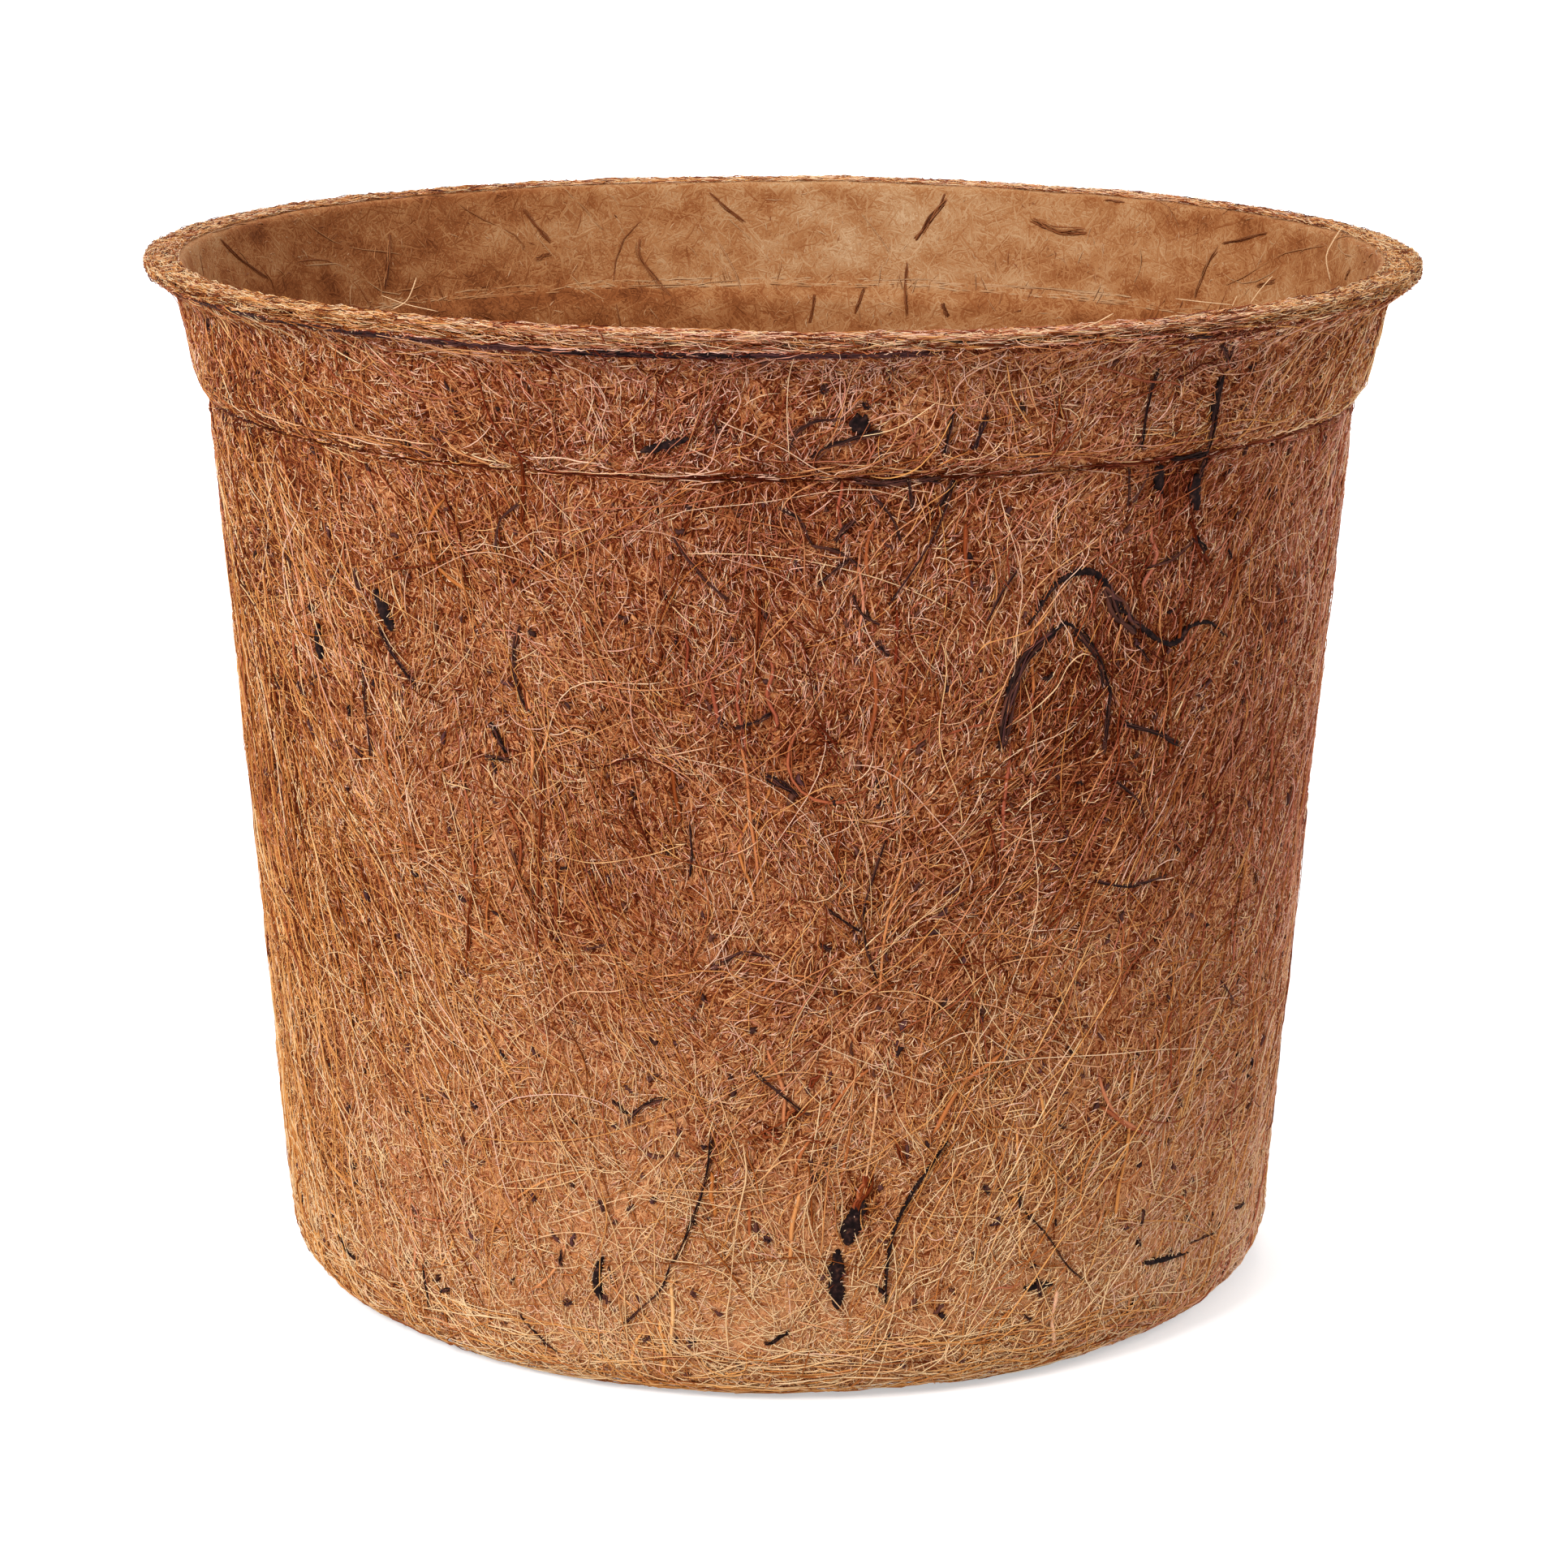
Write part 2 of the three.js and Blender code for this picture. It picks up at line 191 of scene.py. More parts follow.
# Strands and specks in photo pixels: width in pixels, then a route
DARK_ON_OUTSIDE = [
    (4, [(876, 1400), (874, 1432), (865, 1467), (852, 1507), (840, 1537), (827, 1557)]),
    (3, [(827, 1557), (815, 1587), (790, 1612), (765, 1635)]),
    (6, [(1360, 830), (1367, 852), (1365, 872), (1360, 930)]),
    (7, [(1382, 892), (1410, 897), (1440, 910), (1455, 918)]),
    (6, [(1430, 455), (1420, 475), (1412, 510), (1406, 555)]),
    (7, [(1507, 458), (1500, 492), (1494, 525), (1488, 556)]),
    (10, [(1442, 566), (1468, 562), (1490, 556)]),
    (9, [(1488, 558), (1482, 572), (1478, 590)]),
    (7, [(1505, 425), (1509, 435), (1512, 445)]),
    (5, [(1520, 425), (1510, 450)]),
    (4, [(1390, 575), (1389, 625)]),
    (5, [(1415, 580), (1395, 620)]),
    (9, [(1016, 474), (1020, 484)]),
    (6, [(1024, 518), (1040, 513)]),
    (6, [(1062, 496), (1070, 505)]),
    (7, [(1000, 565), (1025, 547), (1050, 540), (1087, 530)]),
    (5, [(1030, 514), (1000, 520), (980, 535), (970, 560)]),
    (6, [(1055, 640), (1040, 652), (1028, 668)]),
    (5, [(1045, 690), (1025, 705), (1008, 722)]),
    (6, [(1165, 560), (1170, 530), (1177, 500)]),
    (6, [(1200, 555), (1208, 530), (1215, 510)]),
    (5, [(1120, 590), (1122, 610), (1125, 630)]),
    (6, [(1175, 590), (1165, 608), (1155, 625)]),
    (7, [(740, 1478), (745, 1492)]),
    (7, [(744, 1594), (752, 1606)]),
    (8, [(694, 1606), (706, 1603)]),
    (5, [(692, 1540), (691, 1560)]),
    (9, [(944, 1520), (951, 1528)]),
    (7, [(853, 1588), (858, 1598)]),
    (6, [(792, 1652), (803, 1648)]),
    (8, [(1212, 1462), (1218, 1470)]),
    (6, [(1256, 1466), (1257, 1490)]),
    (6, [(1276, 1572), (1281, 1598)]),
    (5, [(1261, 1620), (1270, 1624)]),
    (4, [(996, 1428), (1003, 1434)]),
    (7, [(543, 1592), (557, 1588)]),
    (6, [(418, 1520), (430, 1540), (440, 1552)]),
    (4, [(523, 1551), (526, 1585), (530, 1612)]),
    (6, [(1408, 1490), (1405, 1510)]),
    (3, [(1466, 1532), (1482, 1524), (1498, 1518)]),
    (5, [(1520, 1490), (1532, 1482)]),
    (6, [(942, 1656), (958, 1648), (972, 1640)]),
    (3, [(640, 1617), (662, 1642), (690, 1665)]),
    (2.5, [(1260, 1490), (1292, 1525), (1315, 1560), (1340, 1580)]),
    (5, [(467, 772), (482, 800), (495, 820), (515, 847)]),
    (6, [(437, 700), (441, 714), (447, 727)]),
    (9, [(383, 742), (387, 753)]),
    (7, [(369, 838), (375, 856)]),
    (5, [(431, 868), (432, 884)]),
    (3, [(447, 800), (450, 855), (455, 905), (455, 940)]),
    (8, [(602, 890), (612, 905), (625, 928)]),
    (6, [(598, 931), (630, 935)]),
    (4, [(830, 660), (862, 706), (900, 740)]),
    (5, [(905, 897), (925, 892), (950, 880)]),
    (7, [(943, 955), (965, 965), (985, 980)]),
    (6, [(1080, 790), (1095, 808)]),
    (4, [(888, 1186), (915, 1172), (950, 1178)]),
    (5, [(1092, 1035), (1075, 1080), (1064, 1120), (1066, 1160), (1082, 1215)]),
    (4, [(1020, 1120), (1045, 1138), (1065, 1150)]),
    (6, [(1010, 1165), (1024, 1170)]),
    (4, [(925, 1318), (960, 1345), (990, 1372)]),
    (5, [(770, 1385), (795, 1360), (825, 1352)]),
    (5, [(755, 1355), (775, 1372)]),
    (5, [(640, 770), (634, 810), (640, 850), (655, 880)]),
    (4, [(610, 680), (618, 640), (640, 620)]),
    (4, [(850, 1010), (853, 1045), (851, 1080)]),
    (5, [(1400, 795), (1415, 815)]),
    (22, [(1360, 722), (1380, 752), (1402, 778)]),
    (14, [(1300, 774), (1270, 800), (1252, 835), (1240, 880), (1235, 925)]),
    (9, [(1325, 775), (1350, 808), (1363, 850)]),
    # These two lie along the crease and darken it as painted shade
    (8, [(1052, 592), (1085, 594), (1120, 592)]),
    (7, [(1130, 592), (1160, 590)]),
    (8, [(1470, 662), (1485, 680)]),
    (6, [(1513, 676), (1517, 688)]),
    (6, [(1412, 700), (1440, 690), (1470, 668)]),
    (5, [(1060, 700), (1035, 680), (1000, 672)]),
    (4, [(960, 625), (985, 640), (1000, 672)]),
    (4, [(1075, 610), (1100, 640), (1110, 668)]),
    (4, [(1085, 770), (1060, 755), (1050, 730)]),
    (4, [(1175, 600), (1150, 660), (1115, 715), (1095, 745)]),
    (5, [(1460, 415), (1495, 413)]),
    (4, [(1372, 960), (1400, 985), (1410, 1010)]),
    (5, [(1350, 1085), (1385, 1092), (1440, 1078)]),
    (4, [(1255, 700), (1235, 725), (1215, 765)]),
    (6, [(500, 1362), (505, 1372)]),
    (5, [(385, 1430), (388, 1442)]),
    (4, [(340, 830), (345, 850)]),
    (5, [(355, 680), (360, 700)]),
    (4, [(720, 1170), (750, 1162)]),
    (5, [(1505, 1210), (1520, 1235)]),
    (3, [(880, 515), (885, 535)]),
]
BROWN_ON_OUTSIDE = [
    (17, [(1073, 1446), (1067, 1466), (1056, 1494)]),
    (6, [(682, 1043), (685, 1100), (684, 1163)]),
    (5, [(667, 900), (668, 1000), (664, 1100), (661, 1200)]),
    (6, [(587, 1060), (579, 1130), (574, 1205)]),
    (8, [(996, 1340), (1004, 1330), (1014, 1321)]),
    (8, [(988, 1402), (1005, 1406), (1024, 1412)]),
    (7, [(1100, 1402), (1108, 1418), (1114, 1436)]),
    (12, [(938, 1392), (950, 1398), (962, 1404)]),
    (9, [(968, 1380), (974, 1374), (980, 1366)]),
    (6, [(932, 715), (934, 770), (930, 830)]),
    (6, [(1035, 1010), (1030, 1060), (1034, 1105)]),
    (12, [(1468, 640), (1474, 670), (1490, 700)]),
    (5, [(1120, 815), (1112, 860), (1116, 905)]),
    (6, [(640, 560), (645, 600), (640, 650)]),
    (6, [(1210, 1000), (1225, 1050), (1222, 1100)]),
]
PALE_ON_OUTSIDE = [
    (3, [(1240, 447), (1245, 482), (1257, 507), (1269, 525)]),
    (2.5, [(1250, 442), (1265, 467), (1272, 490), (1279, 514)]),
    (2, [(1090, 455), (1130, 487), (1175, 499), (1212, 487), (1300, 470)]),
    (2.5, [(1072, 587), (1100, 587), (1130, 575), (1155, 547), (1175, 510)]),
    (2, [(1160, 560), (1190, 565), (1220, 557), (1240, 535)]),
    (2.5, [(1200, 812), (1215, 792), (1250, 782), (1275, 770), (1300, 740)]),
    (2.5, [(1240, 897), (1270, 875), (1300, 847), (1315, 820), (1335, 805), (1350, 812)]),
    (3, [(915, 1407), (920, 1445), (912, 1485), (905, 1530), (900, 1590), (895, 1625), (899, 1675)]),
    (2.5, [(730, 1407), (742, 1460), (749, 1500), (742, 1540), (739, 1590)]),
    (2.5, [(640, 1537), (672, 1522), (710, 1517), (747, 1525), (780, 1547)]),
    (2.5, [(780, 1547), (810, 1585), (827, 1632), (857, 1670), (877, 1695)]),
    (2.5, [(802, 1475), (825, 1464), (865, 1467), (915, 1465), (940, 1450), (962, 1430), (1000, 1427)]),
    (2, [(765, 1677), (830, 1669), (902, 1677)]),
    (2.5, [(1025, 1400), (1017, 1475), (1010, 1550), (995, 1615)]),
    (2, [(1102, 1405), (1085, 1425), (1042, 1440), (980, 1427)]),
    (2.5, [(980, 1627), (1030, 1637), (1092, 1650), (1177, 1672)]),
    (2.5, [(1065, 1223), (1113, 1220), (1150, 1233), (1180, 1262), (1200, 1290), (1213, 1320)]),
    (2.5, [(700, 640), (715, 700), (745, 760)]),
    (2, [(560, 1000), (600, 1085), (640, 1190), (668, 1290)]),
    (2, [(350, 920), (372, 990), (395, 1060), (410, 1130)]),
    (2, [(1275, 1345), (1320, 1300), (1360, 1235), (1385, 1190)]),
    (2, [(1270, 1395), (1320, 1330), (1352, 1270)]),
    (2, [(680, 1050), (730, 1062), (790, 1055), (845, 1040)]),
]
DARK_ON_INSIDE = [
    (9, [(1168, 238), (1150, 265), (1126, 298)]),
    (9, [(1268, 268), (1300, 283), (1340, 284)]),
    (5, [(270, 290), (300, 320), (335, 345)]),
    (8, [(481, 285), (478, 325), (475, 358)]),
    (7, [(645, 255), (658, 275), (680, 300)]),
    (5, [(790, 290), (788, 315), (810, 345), (830, 368)]),
    (6, [(1118, 320), (1116, 350), (1118, 395)]),
    (6, [(1160, 372), (1168, 392)]),
    (5, [(1005, 360), (998, 400)]),
    (5, [(1065, 352), (1052, 388)]),
    (6, [(1500, 300), (1480, 335), (1468, 370)]),
    (4, [(1500, 300), (1535, 292), (1560, 285)]),
    (5, [(1570, 345), (1545, 352)]),
    (5, [(870, 235), (895, 255), (920, 275)]),
    (5, [(660, 320), (680, 312)]),
    (4, [(1662, 330), (1655, 345)]),
    (4, [(1360, 245), (1385, 248)]),
]
PALE_ON_INSIDE = [
    # The first three run along the edge of the inside ledge, as a painted highlight
    (3, [(980, 352), (1060, 346), (1130, 344), (1210, 346)]),
    (3, [(760, 352), (840, 350), (920, 344)]),
    (3, [(1220, 350), (1300, 356), (1390, 362)]),
    (2.5, [(1325, 330), (1335, 305), (1345, 275)]),
    (2.5, [(1395, 350), (1405, 325), (1402, 300)]),
    (2.5, [(1060, 262), (1082, 290), (1100, 318)]),
    (2.5, [(890, 262), (930, 300), (950, 330)]),
    (2.5, [(940, 320), (970, 290), (990, 262)]),
]
RIM_STRAYS = [
    (2.5, [(1640, 350), (1634, 318), (1642, 298), (1655, 278)]),
    (2, [(1540, 375), (1552, 358), (1568, 340)]),
    (2, [(1518, 378), (1524, 365)]),
    (2.5, [(482, 382), (500, 372), (508, 357), (513, 342)]),
    (2, [(470, 364), (500, 375), (540, 384)]),
    (2, [(1448, 368), (1480, 372), (1520, 376)]),
    (2, [(1330, 405), (1350, 398), (1372, 386)]),
]
# Darker patches: a pixel, a reach in millimetres and how much darker, or paler where it is below 0
STAINS_OUTSIDE = [
    ((1050, 640), 8.0, 0.10), ((1180, 620), 7.0, 0.08), ((1455, 592), 3.5, 0.25), ((1390, 780), 9.0, 0.13),
    ((1290, 880), 7.0, 0.07), ((960, 740), 6.0, 0.06), ((640, 880), 6.0, 0.08), ((470, 760), 5.0, 0.08),
    ((1330, 950), 9.0, 0.07), ((970, 900), 7.0, 0.11), ((1060, 1480), 3.0, 0.22), ((1210, 1100), 7.0, 0.06),
    ((1470, 420), 4.0, 0.10), ((930, 620), 6.0, 0.08), ((770, 1420), 9.0, -0.05), ((730, 900), 6.0, 0.05),
]
# Inside, the patches are painted light and shade: a paler, lit patch at the back and darker, shaded ones
# towards the sides
INSIDE_PAINTED_LIGHT_AND_SHADE = [
    ((1110, 285), 24.0, -0.14), ((690, 300), 24.0, 0.06), ((330, 320), 20.0, 0.08), ((520, 320), 22.0, 0.09),
    ((1600, 310), 20.0, 0.03),
]


def srgb(red, green, blue):
    """A colour written in 0 to 255 steps as the linear values that a socket takes."""
    steps = np.array([red, green, blue]) / 255
    linear = np.where(steps <= 0.04045, steps / 12.92, ((steps + 0.055) / 1.055) ** 2.4)
    return (*(float(x) for x in linear), 1.0)


# Section of the pot

def inset(run, depth):
    """A straight run moved inward in parallel."""
    start, end = np.array(run[0], float), np.array(run[1], float)
    along = (end - start) / np.linalg.norm(end - start)
    inward = np.array([-along[1], along[0]]) * depth
    return start + inward, end + inward


def crossing(run_a, run_b):
    """Where the lines of two straight runs meet."""
    a, b = run_a[1] - run_a[0], run_b[1] - run_b[0]
    between = run_b[0] - run_a[0]
    share = (between[0] * b[1] - between[1] * b[0]) / (a[0] * b[1] - a[1] * b[0])
    return run_a[0] + a * share


def unit(vectors):
    """Vectors made one long."""
    return vectors / np.maximum(np.linalg.norm(vectors, axis=-1, keepdims=True), 1e-9)


def run_lengths(points):
    """Length along a line of points, up to each of them."""
    return np.concatenate([[0], np.cumsum(np.linalg.norm(np.diff(points, axis=0), axis=1))])


def resampled(points, length, even):
    """Points at other lengths along a line of points."""
    return np.stack([np.interp(even, length, column) for column in points.T], 1)


def rounded(corners, spacing, arc_points=13):
    """Points about one spacing apart along a line of (radius, height, rounding) corners."""
    points = [np.array(corners[0][:2], float)]
    for before, here, after in zip(corners, corners[1:], corners[2:]):
        at = np.array(here[:2], float)
        back = np.array(before[:2], float) - at
        ahead = np.array(after[:2], float) - at
        back /= np.linalg.norm(back)
        ahead /= np.linalg.norm(ahead)
        opening = math.acos(float(np.clip(back @ ahead, -1, 1)))
        bisector = (back + ahead) / np.linalg.norm(back + ahead)
        centre = at + bisector * here[2] / math.sin(opening / 2)
        reach = here[2] / math.tan(opening / 2)
        arms = [at + back * reach - centre, at + ahead * reach - centre]
        for share in np.linspace(0, 1, arc_points):
            arm = arms[0] * (1 - share) + arms[1] * share
            points.append(centre + arm / np.linalg.norm(arm) * here[2])
    points.append(np.array(corners[-1][:2], float))
    points = np.array(points)
    length = run_lengths(points)
    even = np.linspace(0, length[-1], int(length[-1] / spacing) + 1)
    return resampled(points, length, even), even


def section_corners():
    """Corners of the whole face, from the foot up the outside, over the rim and down the inside."""
    wall_top = BASE_RADIUS + WALL_HEIGHT * math.tan(WALL_TAPER)
    collar_foot = np.array([wall_top + STEP_DEPTH, WALL_HEIGHT + STEP_RISE])
    lean, climb = math.tan(COLLAR_FLARE), math.tan(FLANGE_SLOPE)
    collar_top = collar_foot[0] + (POT_HEIGHT - collar_foot[1]) * lean
    lip_bottom = POT_HEIGHT - LIP_HEIGHT
    rise = (lip_bottom - collar_foot[1] - climb * (RIM_RADIUS - collar_foot[0])) / (1 - climb * lean)
    underside = ((0, 0), (BASE_RADIUS, 0))
    wall = ((BASE_RADIUS, 0), (wall_top, WALL_HEIGHT))
    step = ((wall_top, WALL_HEIGHT), tuple(collar_foot))
    collar = (tuple(collar_foot), (collar_top, POT_HEIGHT))
    inner = [inset(run, FELT_THICKNESS) for run in (underside, wall, step, collar)]
    inside = [crossing(a, b) for a, b in zip(inner, inner[1:])]
    mouth = crossing(inner[3], (np.array([0, POT_HEIGHT]), np.array([1.0, POT_HEIGHT])))
    return [
        (OUTER_FOOT, 0, 0),
        (BASE_RADIUS, 0, FOOT_ROUNDING),
        (wall_top, WALL_HEIGHT, CREASE_ROUNDING),
        (*collar_foot, COLLAR_ROUNDING),
        (collar_foot[0] + rise * lean, collar_foot[1] + rise, FLANGE_ROUNDING),
        (RIM_RADIUS, lip_bottom, LIP_ROUNDING),
        (RIM_RADIUS, POT_HEIGHT, LIP_ROUNDING),
        (*mouth, MOUTH_ROUNDING),
        (*inside[2], LEDGE_ROUNDING),
        (*inside[1], INNER_CREASE_ROUNDING),
        (*inside[0], INNER_FOOT_ROUNDING),
        (INNER_FOOT, FELT_THICKNESS, 0),
    ]


class Skin:
    """The pot's face: a section line turned about the axis, uneven as a hand-laid mat is."""

    def __init__(self, corners, spacing=0.2):
        self.line, self.length = rounded(corners, spacing)
        along = unit(np.gradient(self.line, axis=0))
        self.out = np.stack([along[:, 1], -along[:, 0]], 1)
        self.end = float(self.length[-1])

    def near(self, radius, height):
        """Length along the section of the point nearest to a radius and height."""
        gap = np.hypot(self.line[:, 0] - radius, self.line[:, 1] - height)
        return float(self.length[gap.argmin()])

    def radius(self, s):
        return np.interp(s, self.length, self.line[:, 0])

    def height(self, s):
        return np.interp(s, self.length, self.line[:, 1])

    def place(self, s, theta, lift):
        """Points on the face and the directions out of it there."""
        s, theta, lift = np.broadcast_arrays(s, theta, lift)
        out_r = np.interp(s, self.length, self.out[:, 0])
        out_z = np.interp(s, self.length, self.out[:, 1])
        size = np.hypot(out_r, out_z)
        out_r, out_z = out_r / size, out_z / size
        raised = lift + unevenness(theta, s)
        r = self.radius(s) + out_r * raised
        z = self.height(s) + out_z * raised
        points = np.stack([r * np.sin(theta), -r * np.cos(theta), z], -1)
        normals = np.stack([out_r * np.sin(theta), -out_r * np.cos(theta), out_z], -1)
        return points, normals


def waves(seed, count, shortest, longest):
    """A smooth random field over angle and length, about -1 to 1, that closes on itself round the pot."""
    rng = np.random.default_rng(seed)
    size = longest * (shortest / longest) ** rng.random(count)
    way = rng.random(count) * TURN
    turns = np.round(TURN * MEAN_RADIUS / size * np.cos(way))
    rise = TURN / size * np.sin(way)
    start = rng.random(count) * TURN
    weight = np.sqrt(size)
    weight /= np.sqrt((weight**2).sum() / 2) * WAVE_PEAK

    def field(theta, s):
        total = np.zeros(np.broadcast(theta, s).shape)
        for k in range(count):
            total += weight[k] * np.cos(turns[k] * theta + rise[k] * s + start[k])
        return total

    return field


lumps = waves(11, 24, 4, 40)
slow_bend = waves(12, 8, 60, 200)


def unevenness(theta, s):
    """How far lumps and bends lift the face."""
    return LUMP_HEIGHT * lumps(theta, s) + BEND_HEIGHT * slow_bend(theta, s)


# Marks along the section
skin = Skin(section_corners())
S_WALL_FOOT = skin.near(BASE_RADIUS - 3, 0)
S_CORNER = skin.near(BASE_RADIUS, 3)
S_CREASE = skin.near(BASE_RADIUS + WALL_HEIGHT * math.tan(WALL_TAPER), WALL_HEIGHT)
S_LIP = skin.near(RIM_RADIUS, POT_HEIGHT - LIP_HEIGHT)
S_SPLIT = S_LIP + LIP_HEIGHT / 2
S_TOP = S_LIP + LIP_HEIGHT
S_MOUTH = S_TOP + RIM_WIDTH
S_LEDGE = skin.near(LEDGE_RADIUS, LEDGE_HEIGHT)
S_FLOOR = skin.near(BASE_RADIUS - FELT_THICKNESS, 4)


# The photographed view

def camera_turn():
    """The way the camera faces."""
    yaw = (PHOTO_SIZE / 2 - AXIS_PIXEL) / FOCAL_PIXELS
    facing = Matrix.Rotation(-yaw, 4, "Z") @ Matrix.Rotation(math.pi / 2 - CAMERA_PITCH, 4, "X")
    return facing @ Matrix.Rotation(CAMERA_ROLL, 4, "Z")


def add_camera():
    data = bpy.data.cameras.new("camera")
    data.sensor_width = SENSOR_WIDTH
    data.lens = SENSOR_WIDTH * FOCAL_PIXELS / PHOTO_SIZE
    data.clip_start = 0.05
    camera = bpy.data.objects.new("camera", data)
    bpy.context.scene.collection.objects.link(camera)
    place = Matrix.Translation((0, -CAMERA_DISTANCE * MM, CAMERA_HEIGHT * MM))
    camera.matrix_world = place @ camera_turn()
    bpy.context.scene.camera = camera


def sight_line(pixel):
    """Points in millimetres along the line of sight through a pixel of the photograph."""
    x, y = pixel
    aim = np.array([x - PHOTO_SIZE / 2, PHOTO_SIZE / 2 - y, -FOCAL_PIXELS])
    aim = np.array(camera_turn().to_3x3()) @ (aim / np.linalg.norm(aim))
    reach = np.linspace(CAMERA_DISTANCE - SIGHT_BEFORE, CAMERA_DISTANCE + SIGHT_BEYOND, SIGHT_STEPS)
    return np.array([0, -CAMERA_DISTANCE, CAMERA_HEIGHT]) + reach[:, None] * aim


def face_heights(s_from, s_to):
    """Heights, radii and lengths of a stretch of the section, by rising height."""
    chosen = (skin.length >= s_from) & (skin.length <= s_to)
    order = np.argsort(skin.line[chosen, 1], kind="stable")
    return skin.line[chosen, 1][order], skin.line[chosen, 0][order], skin.length[chosen][order]


def first_spot(points, s_from, s_to, side):
    """Length and angle where a line of sight meets a stretch of the face, from outside (1) or inside (-1)."""
    height, radius, length = face_heights(s_from, s_to)
    apart = side * (np.hypot(points[:, 0], points[:, 1]) - np.interp(points[:, 2], height, radius))
    met = apart <= 0
    hit = points[int(np.argmax(met)) if met.any() else int(apart.argmin())]
    return float(np.interp(hit[2], height, length)), math.atan2(hit[0], -hit[1])


def on_outside(pixel):
    """Length and angle of the spot on the outside that a pixel shows."""
    return first_spot(sight_line(pixel), S_CORNER - 8, S_LIP + 1, 1)


def on_inside(pixel):
    """Length and angle of the spot on the far inside wall that a pixel shows."""
    points = sight_line(pixel)
    return first_spot(points[points[:, 1] > 0], S_MOUTH, S_FLOOR, -1)


def eased(route, count, between=12):
    """Evenly spaced points on a smooth line through the points of a route."""
    knots = np.array(route, float)
    ends = np.concatenate([[2 * knots[0] - knots[1]], knots, [2 * knots[-1] - knots[-2]]])
    share = np.linspace(0, 1, between, endpoint=False)[:, None]
    runs = []
    for a, b, c, d in zip(ends, ends[1:], ends[2:], ends[3:]):
        cubic = 3 * (b - c) + d - a
        runs.append(b + share / 2 * (c - a + share * (2 * a - 5 * b + 4 * c - d + share * cubic)))
    line = np.concatenate([*runs, knots[-1:]])
    length = run_lengths(line)
    return resampled(line, length, np.linspace(0, length[-1], count))


def traced(route, count, face=on_outside):
    """Lengths and angles along a route of pixels."""
    spots = np.array([face(pixel) for pixel in eased(route, count)])
    return spots[:, 0], np.unwrap(spots[:, 1])


# Meshes

def mesh_object(name, vertices, faces, uv=None):
    """A smooth piece from vertices in millimetres, groups of faces, and a map place for each face corner."""
    mesh = bpy.data.meshes.new(name)
    corners = np.concatenate([group.ravel() for group in faces])
    sizes = np.concatenate([np.full(len(group), group.shape[1]) for group in faces])
    starts = np.concatenate([[0], np.cumsum(sizes)[:-1]])
    mesh.vertices.add(len(vertices))
    mesh.vertices.foreach_set("co", (vertices * MM).astype(np.float32).ravel())
    mesh.loops.add(len(corners))
    mesh.loops.foreach_set("vertex_index", corners.astype(np.int32))
    mesh.polygons.add(len(sizes))
    mesh.polygons.foreach_set("loop_start", starts.astype(np.int32))
    mesh.update(calc_edges=True)
    mesh.shade_smooth()
    if uv is not None:
        layer = mesh.uv_layers.new(name="OFBake", do_init=False)
        layer.uv.foreach_set("vector", uv.astype(np.float32).ravel())
    piece = bpy.data.objects.new(name, mesh)
    bpy.context.scene.collection.objects.link(piece)
    return piece


def finished(piece, material, slot, *nodes):
    """Gives a piece its material and body, and hides the solids that it stands for. The slot is not used."""
    piece.data.materials.append(material)
    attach(piece, "root")
    if nodes:
        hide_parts(*nodes)


def turned(name, rows, row_places):
    """A closed ring of rows of points round the axis, with places up the map for the rows and the end."""
    count, columns, _ = rows.shape
    row, column = np.meshgrid(np.arange(count), np.arange(columns), indexing="ij")
    next_row, next_column = (row + 1) % count, (column + 1) % columns
    corners = [(row, column), (row, next_column), (next_row, next_column), (next_row, column)]
    quads = np.stack([r * columns + c for r, c in corners], -1).reshape(-1, 4)
    u, v, v_next = column / columns, row_places[row], row_places[row + 1]
    wide = 1 / columns
    uv = np.stack([u, v, u + wide, v, u + wide, v_next, u, v_next], -1)
    return mesh_object(name, rows.reshape(-1, 3), [quads], uv.reshape(-1, 2))


def felt_sheet(name, s_from, s_to, patchy, columns=320, spacing=0.62, back_rows=48):
    """One ply between two places along the section: the face that shows, and a plain back."""
    theta = np.arange(columns) / columns * TURN
    shown = np.linspace(s_from, s_to, int((s_to - s_from) / spacing))
    hidden = np.linspace(s_to, s_from, back_rows)
    front, _ = skin.place(shown[:, None], theta[None, :], -NAP)
    back, _ = skin.place(hidden[:, None], theta[None, :], -PLY_THICKNESS)
    spare = (s_to / skin.end, 1) if s_from < skin.end - s_to else (s_from / skin.end, 0)
    places = np.concatenate([shown / skin.end, np.linspace(*spare, back_rows + 2)[1:]])
    piece = turned(name, np.concatenate([front, back]), places)
    # The felt takes on the local tone, painted light and shade included
    shade = patchy * local_tone(theta[None, :], np.concatenate([shown, hidden])[:, None])
    layer = piece.data.attributes.new("shade", "FLOAT", "POINT")
    layer.data.foreach_set("value", shade.astype(np.float32).ravel())
    return piece


def felt_disc(name, floor, edge, shown_up, columns=160, rows=40):
    """A base disc with the drain hole, uneven on the face that shows."""
    theta = np.arange(columns) / columns * TURN
    reach = np.linspace(DRAIN_RADIUS, edge, rows)
    rough = LUMP_HEIGHT_ON_DISCS * np.abs(lumps(theta[None, :], reach[:, None]))
    low = floor + (NAP + rough) * (not shown_up)
    high = floor + PLY_THICKNESS - (NAP + rough) * shown_up
    flat = np.stack([reach[:, None] * np.sin(theta), -reach[:, None] * np.cos(theta)], -1)
    under = np.concatenate([flat, low[:, :, None]], -1)
    over = np.concatenate([flat, high[:, :, None]], -1)[::-1]
    return turned(name, np.concatenate([under, over]), np.linspace(0, 1, 2 * rows + 1))


# Fibres

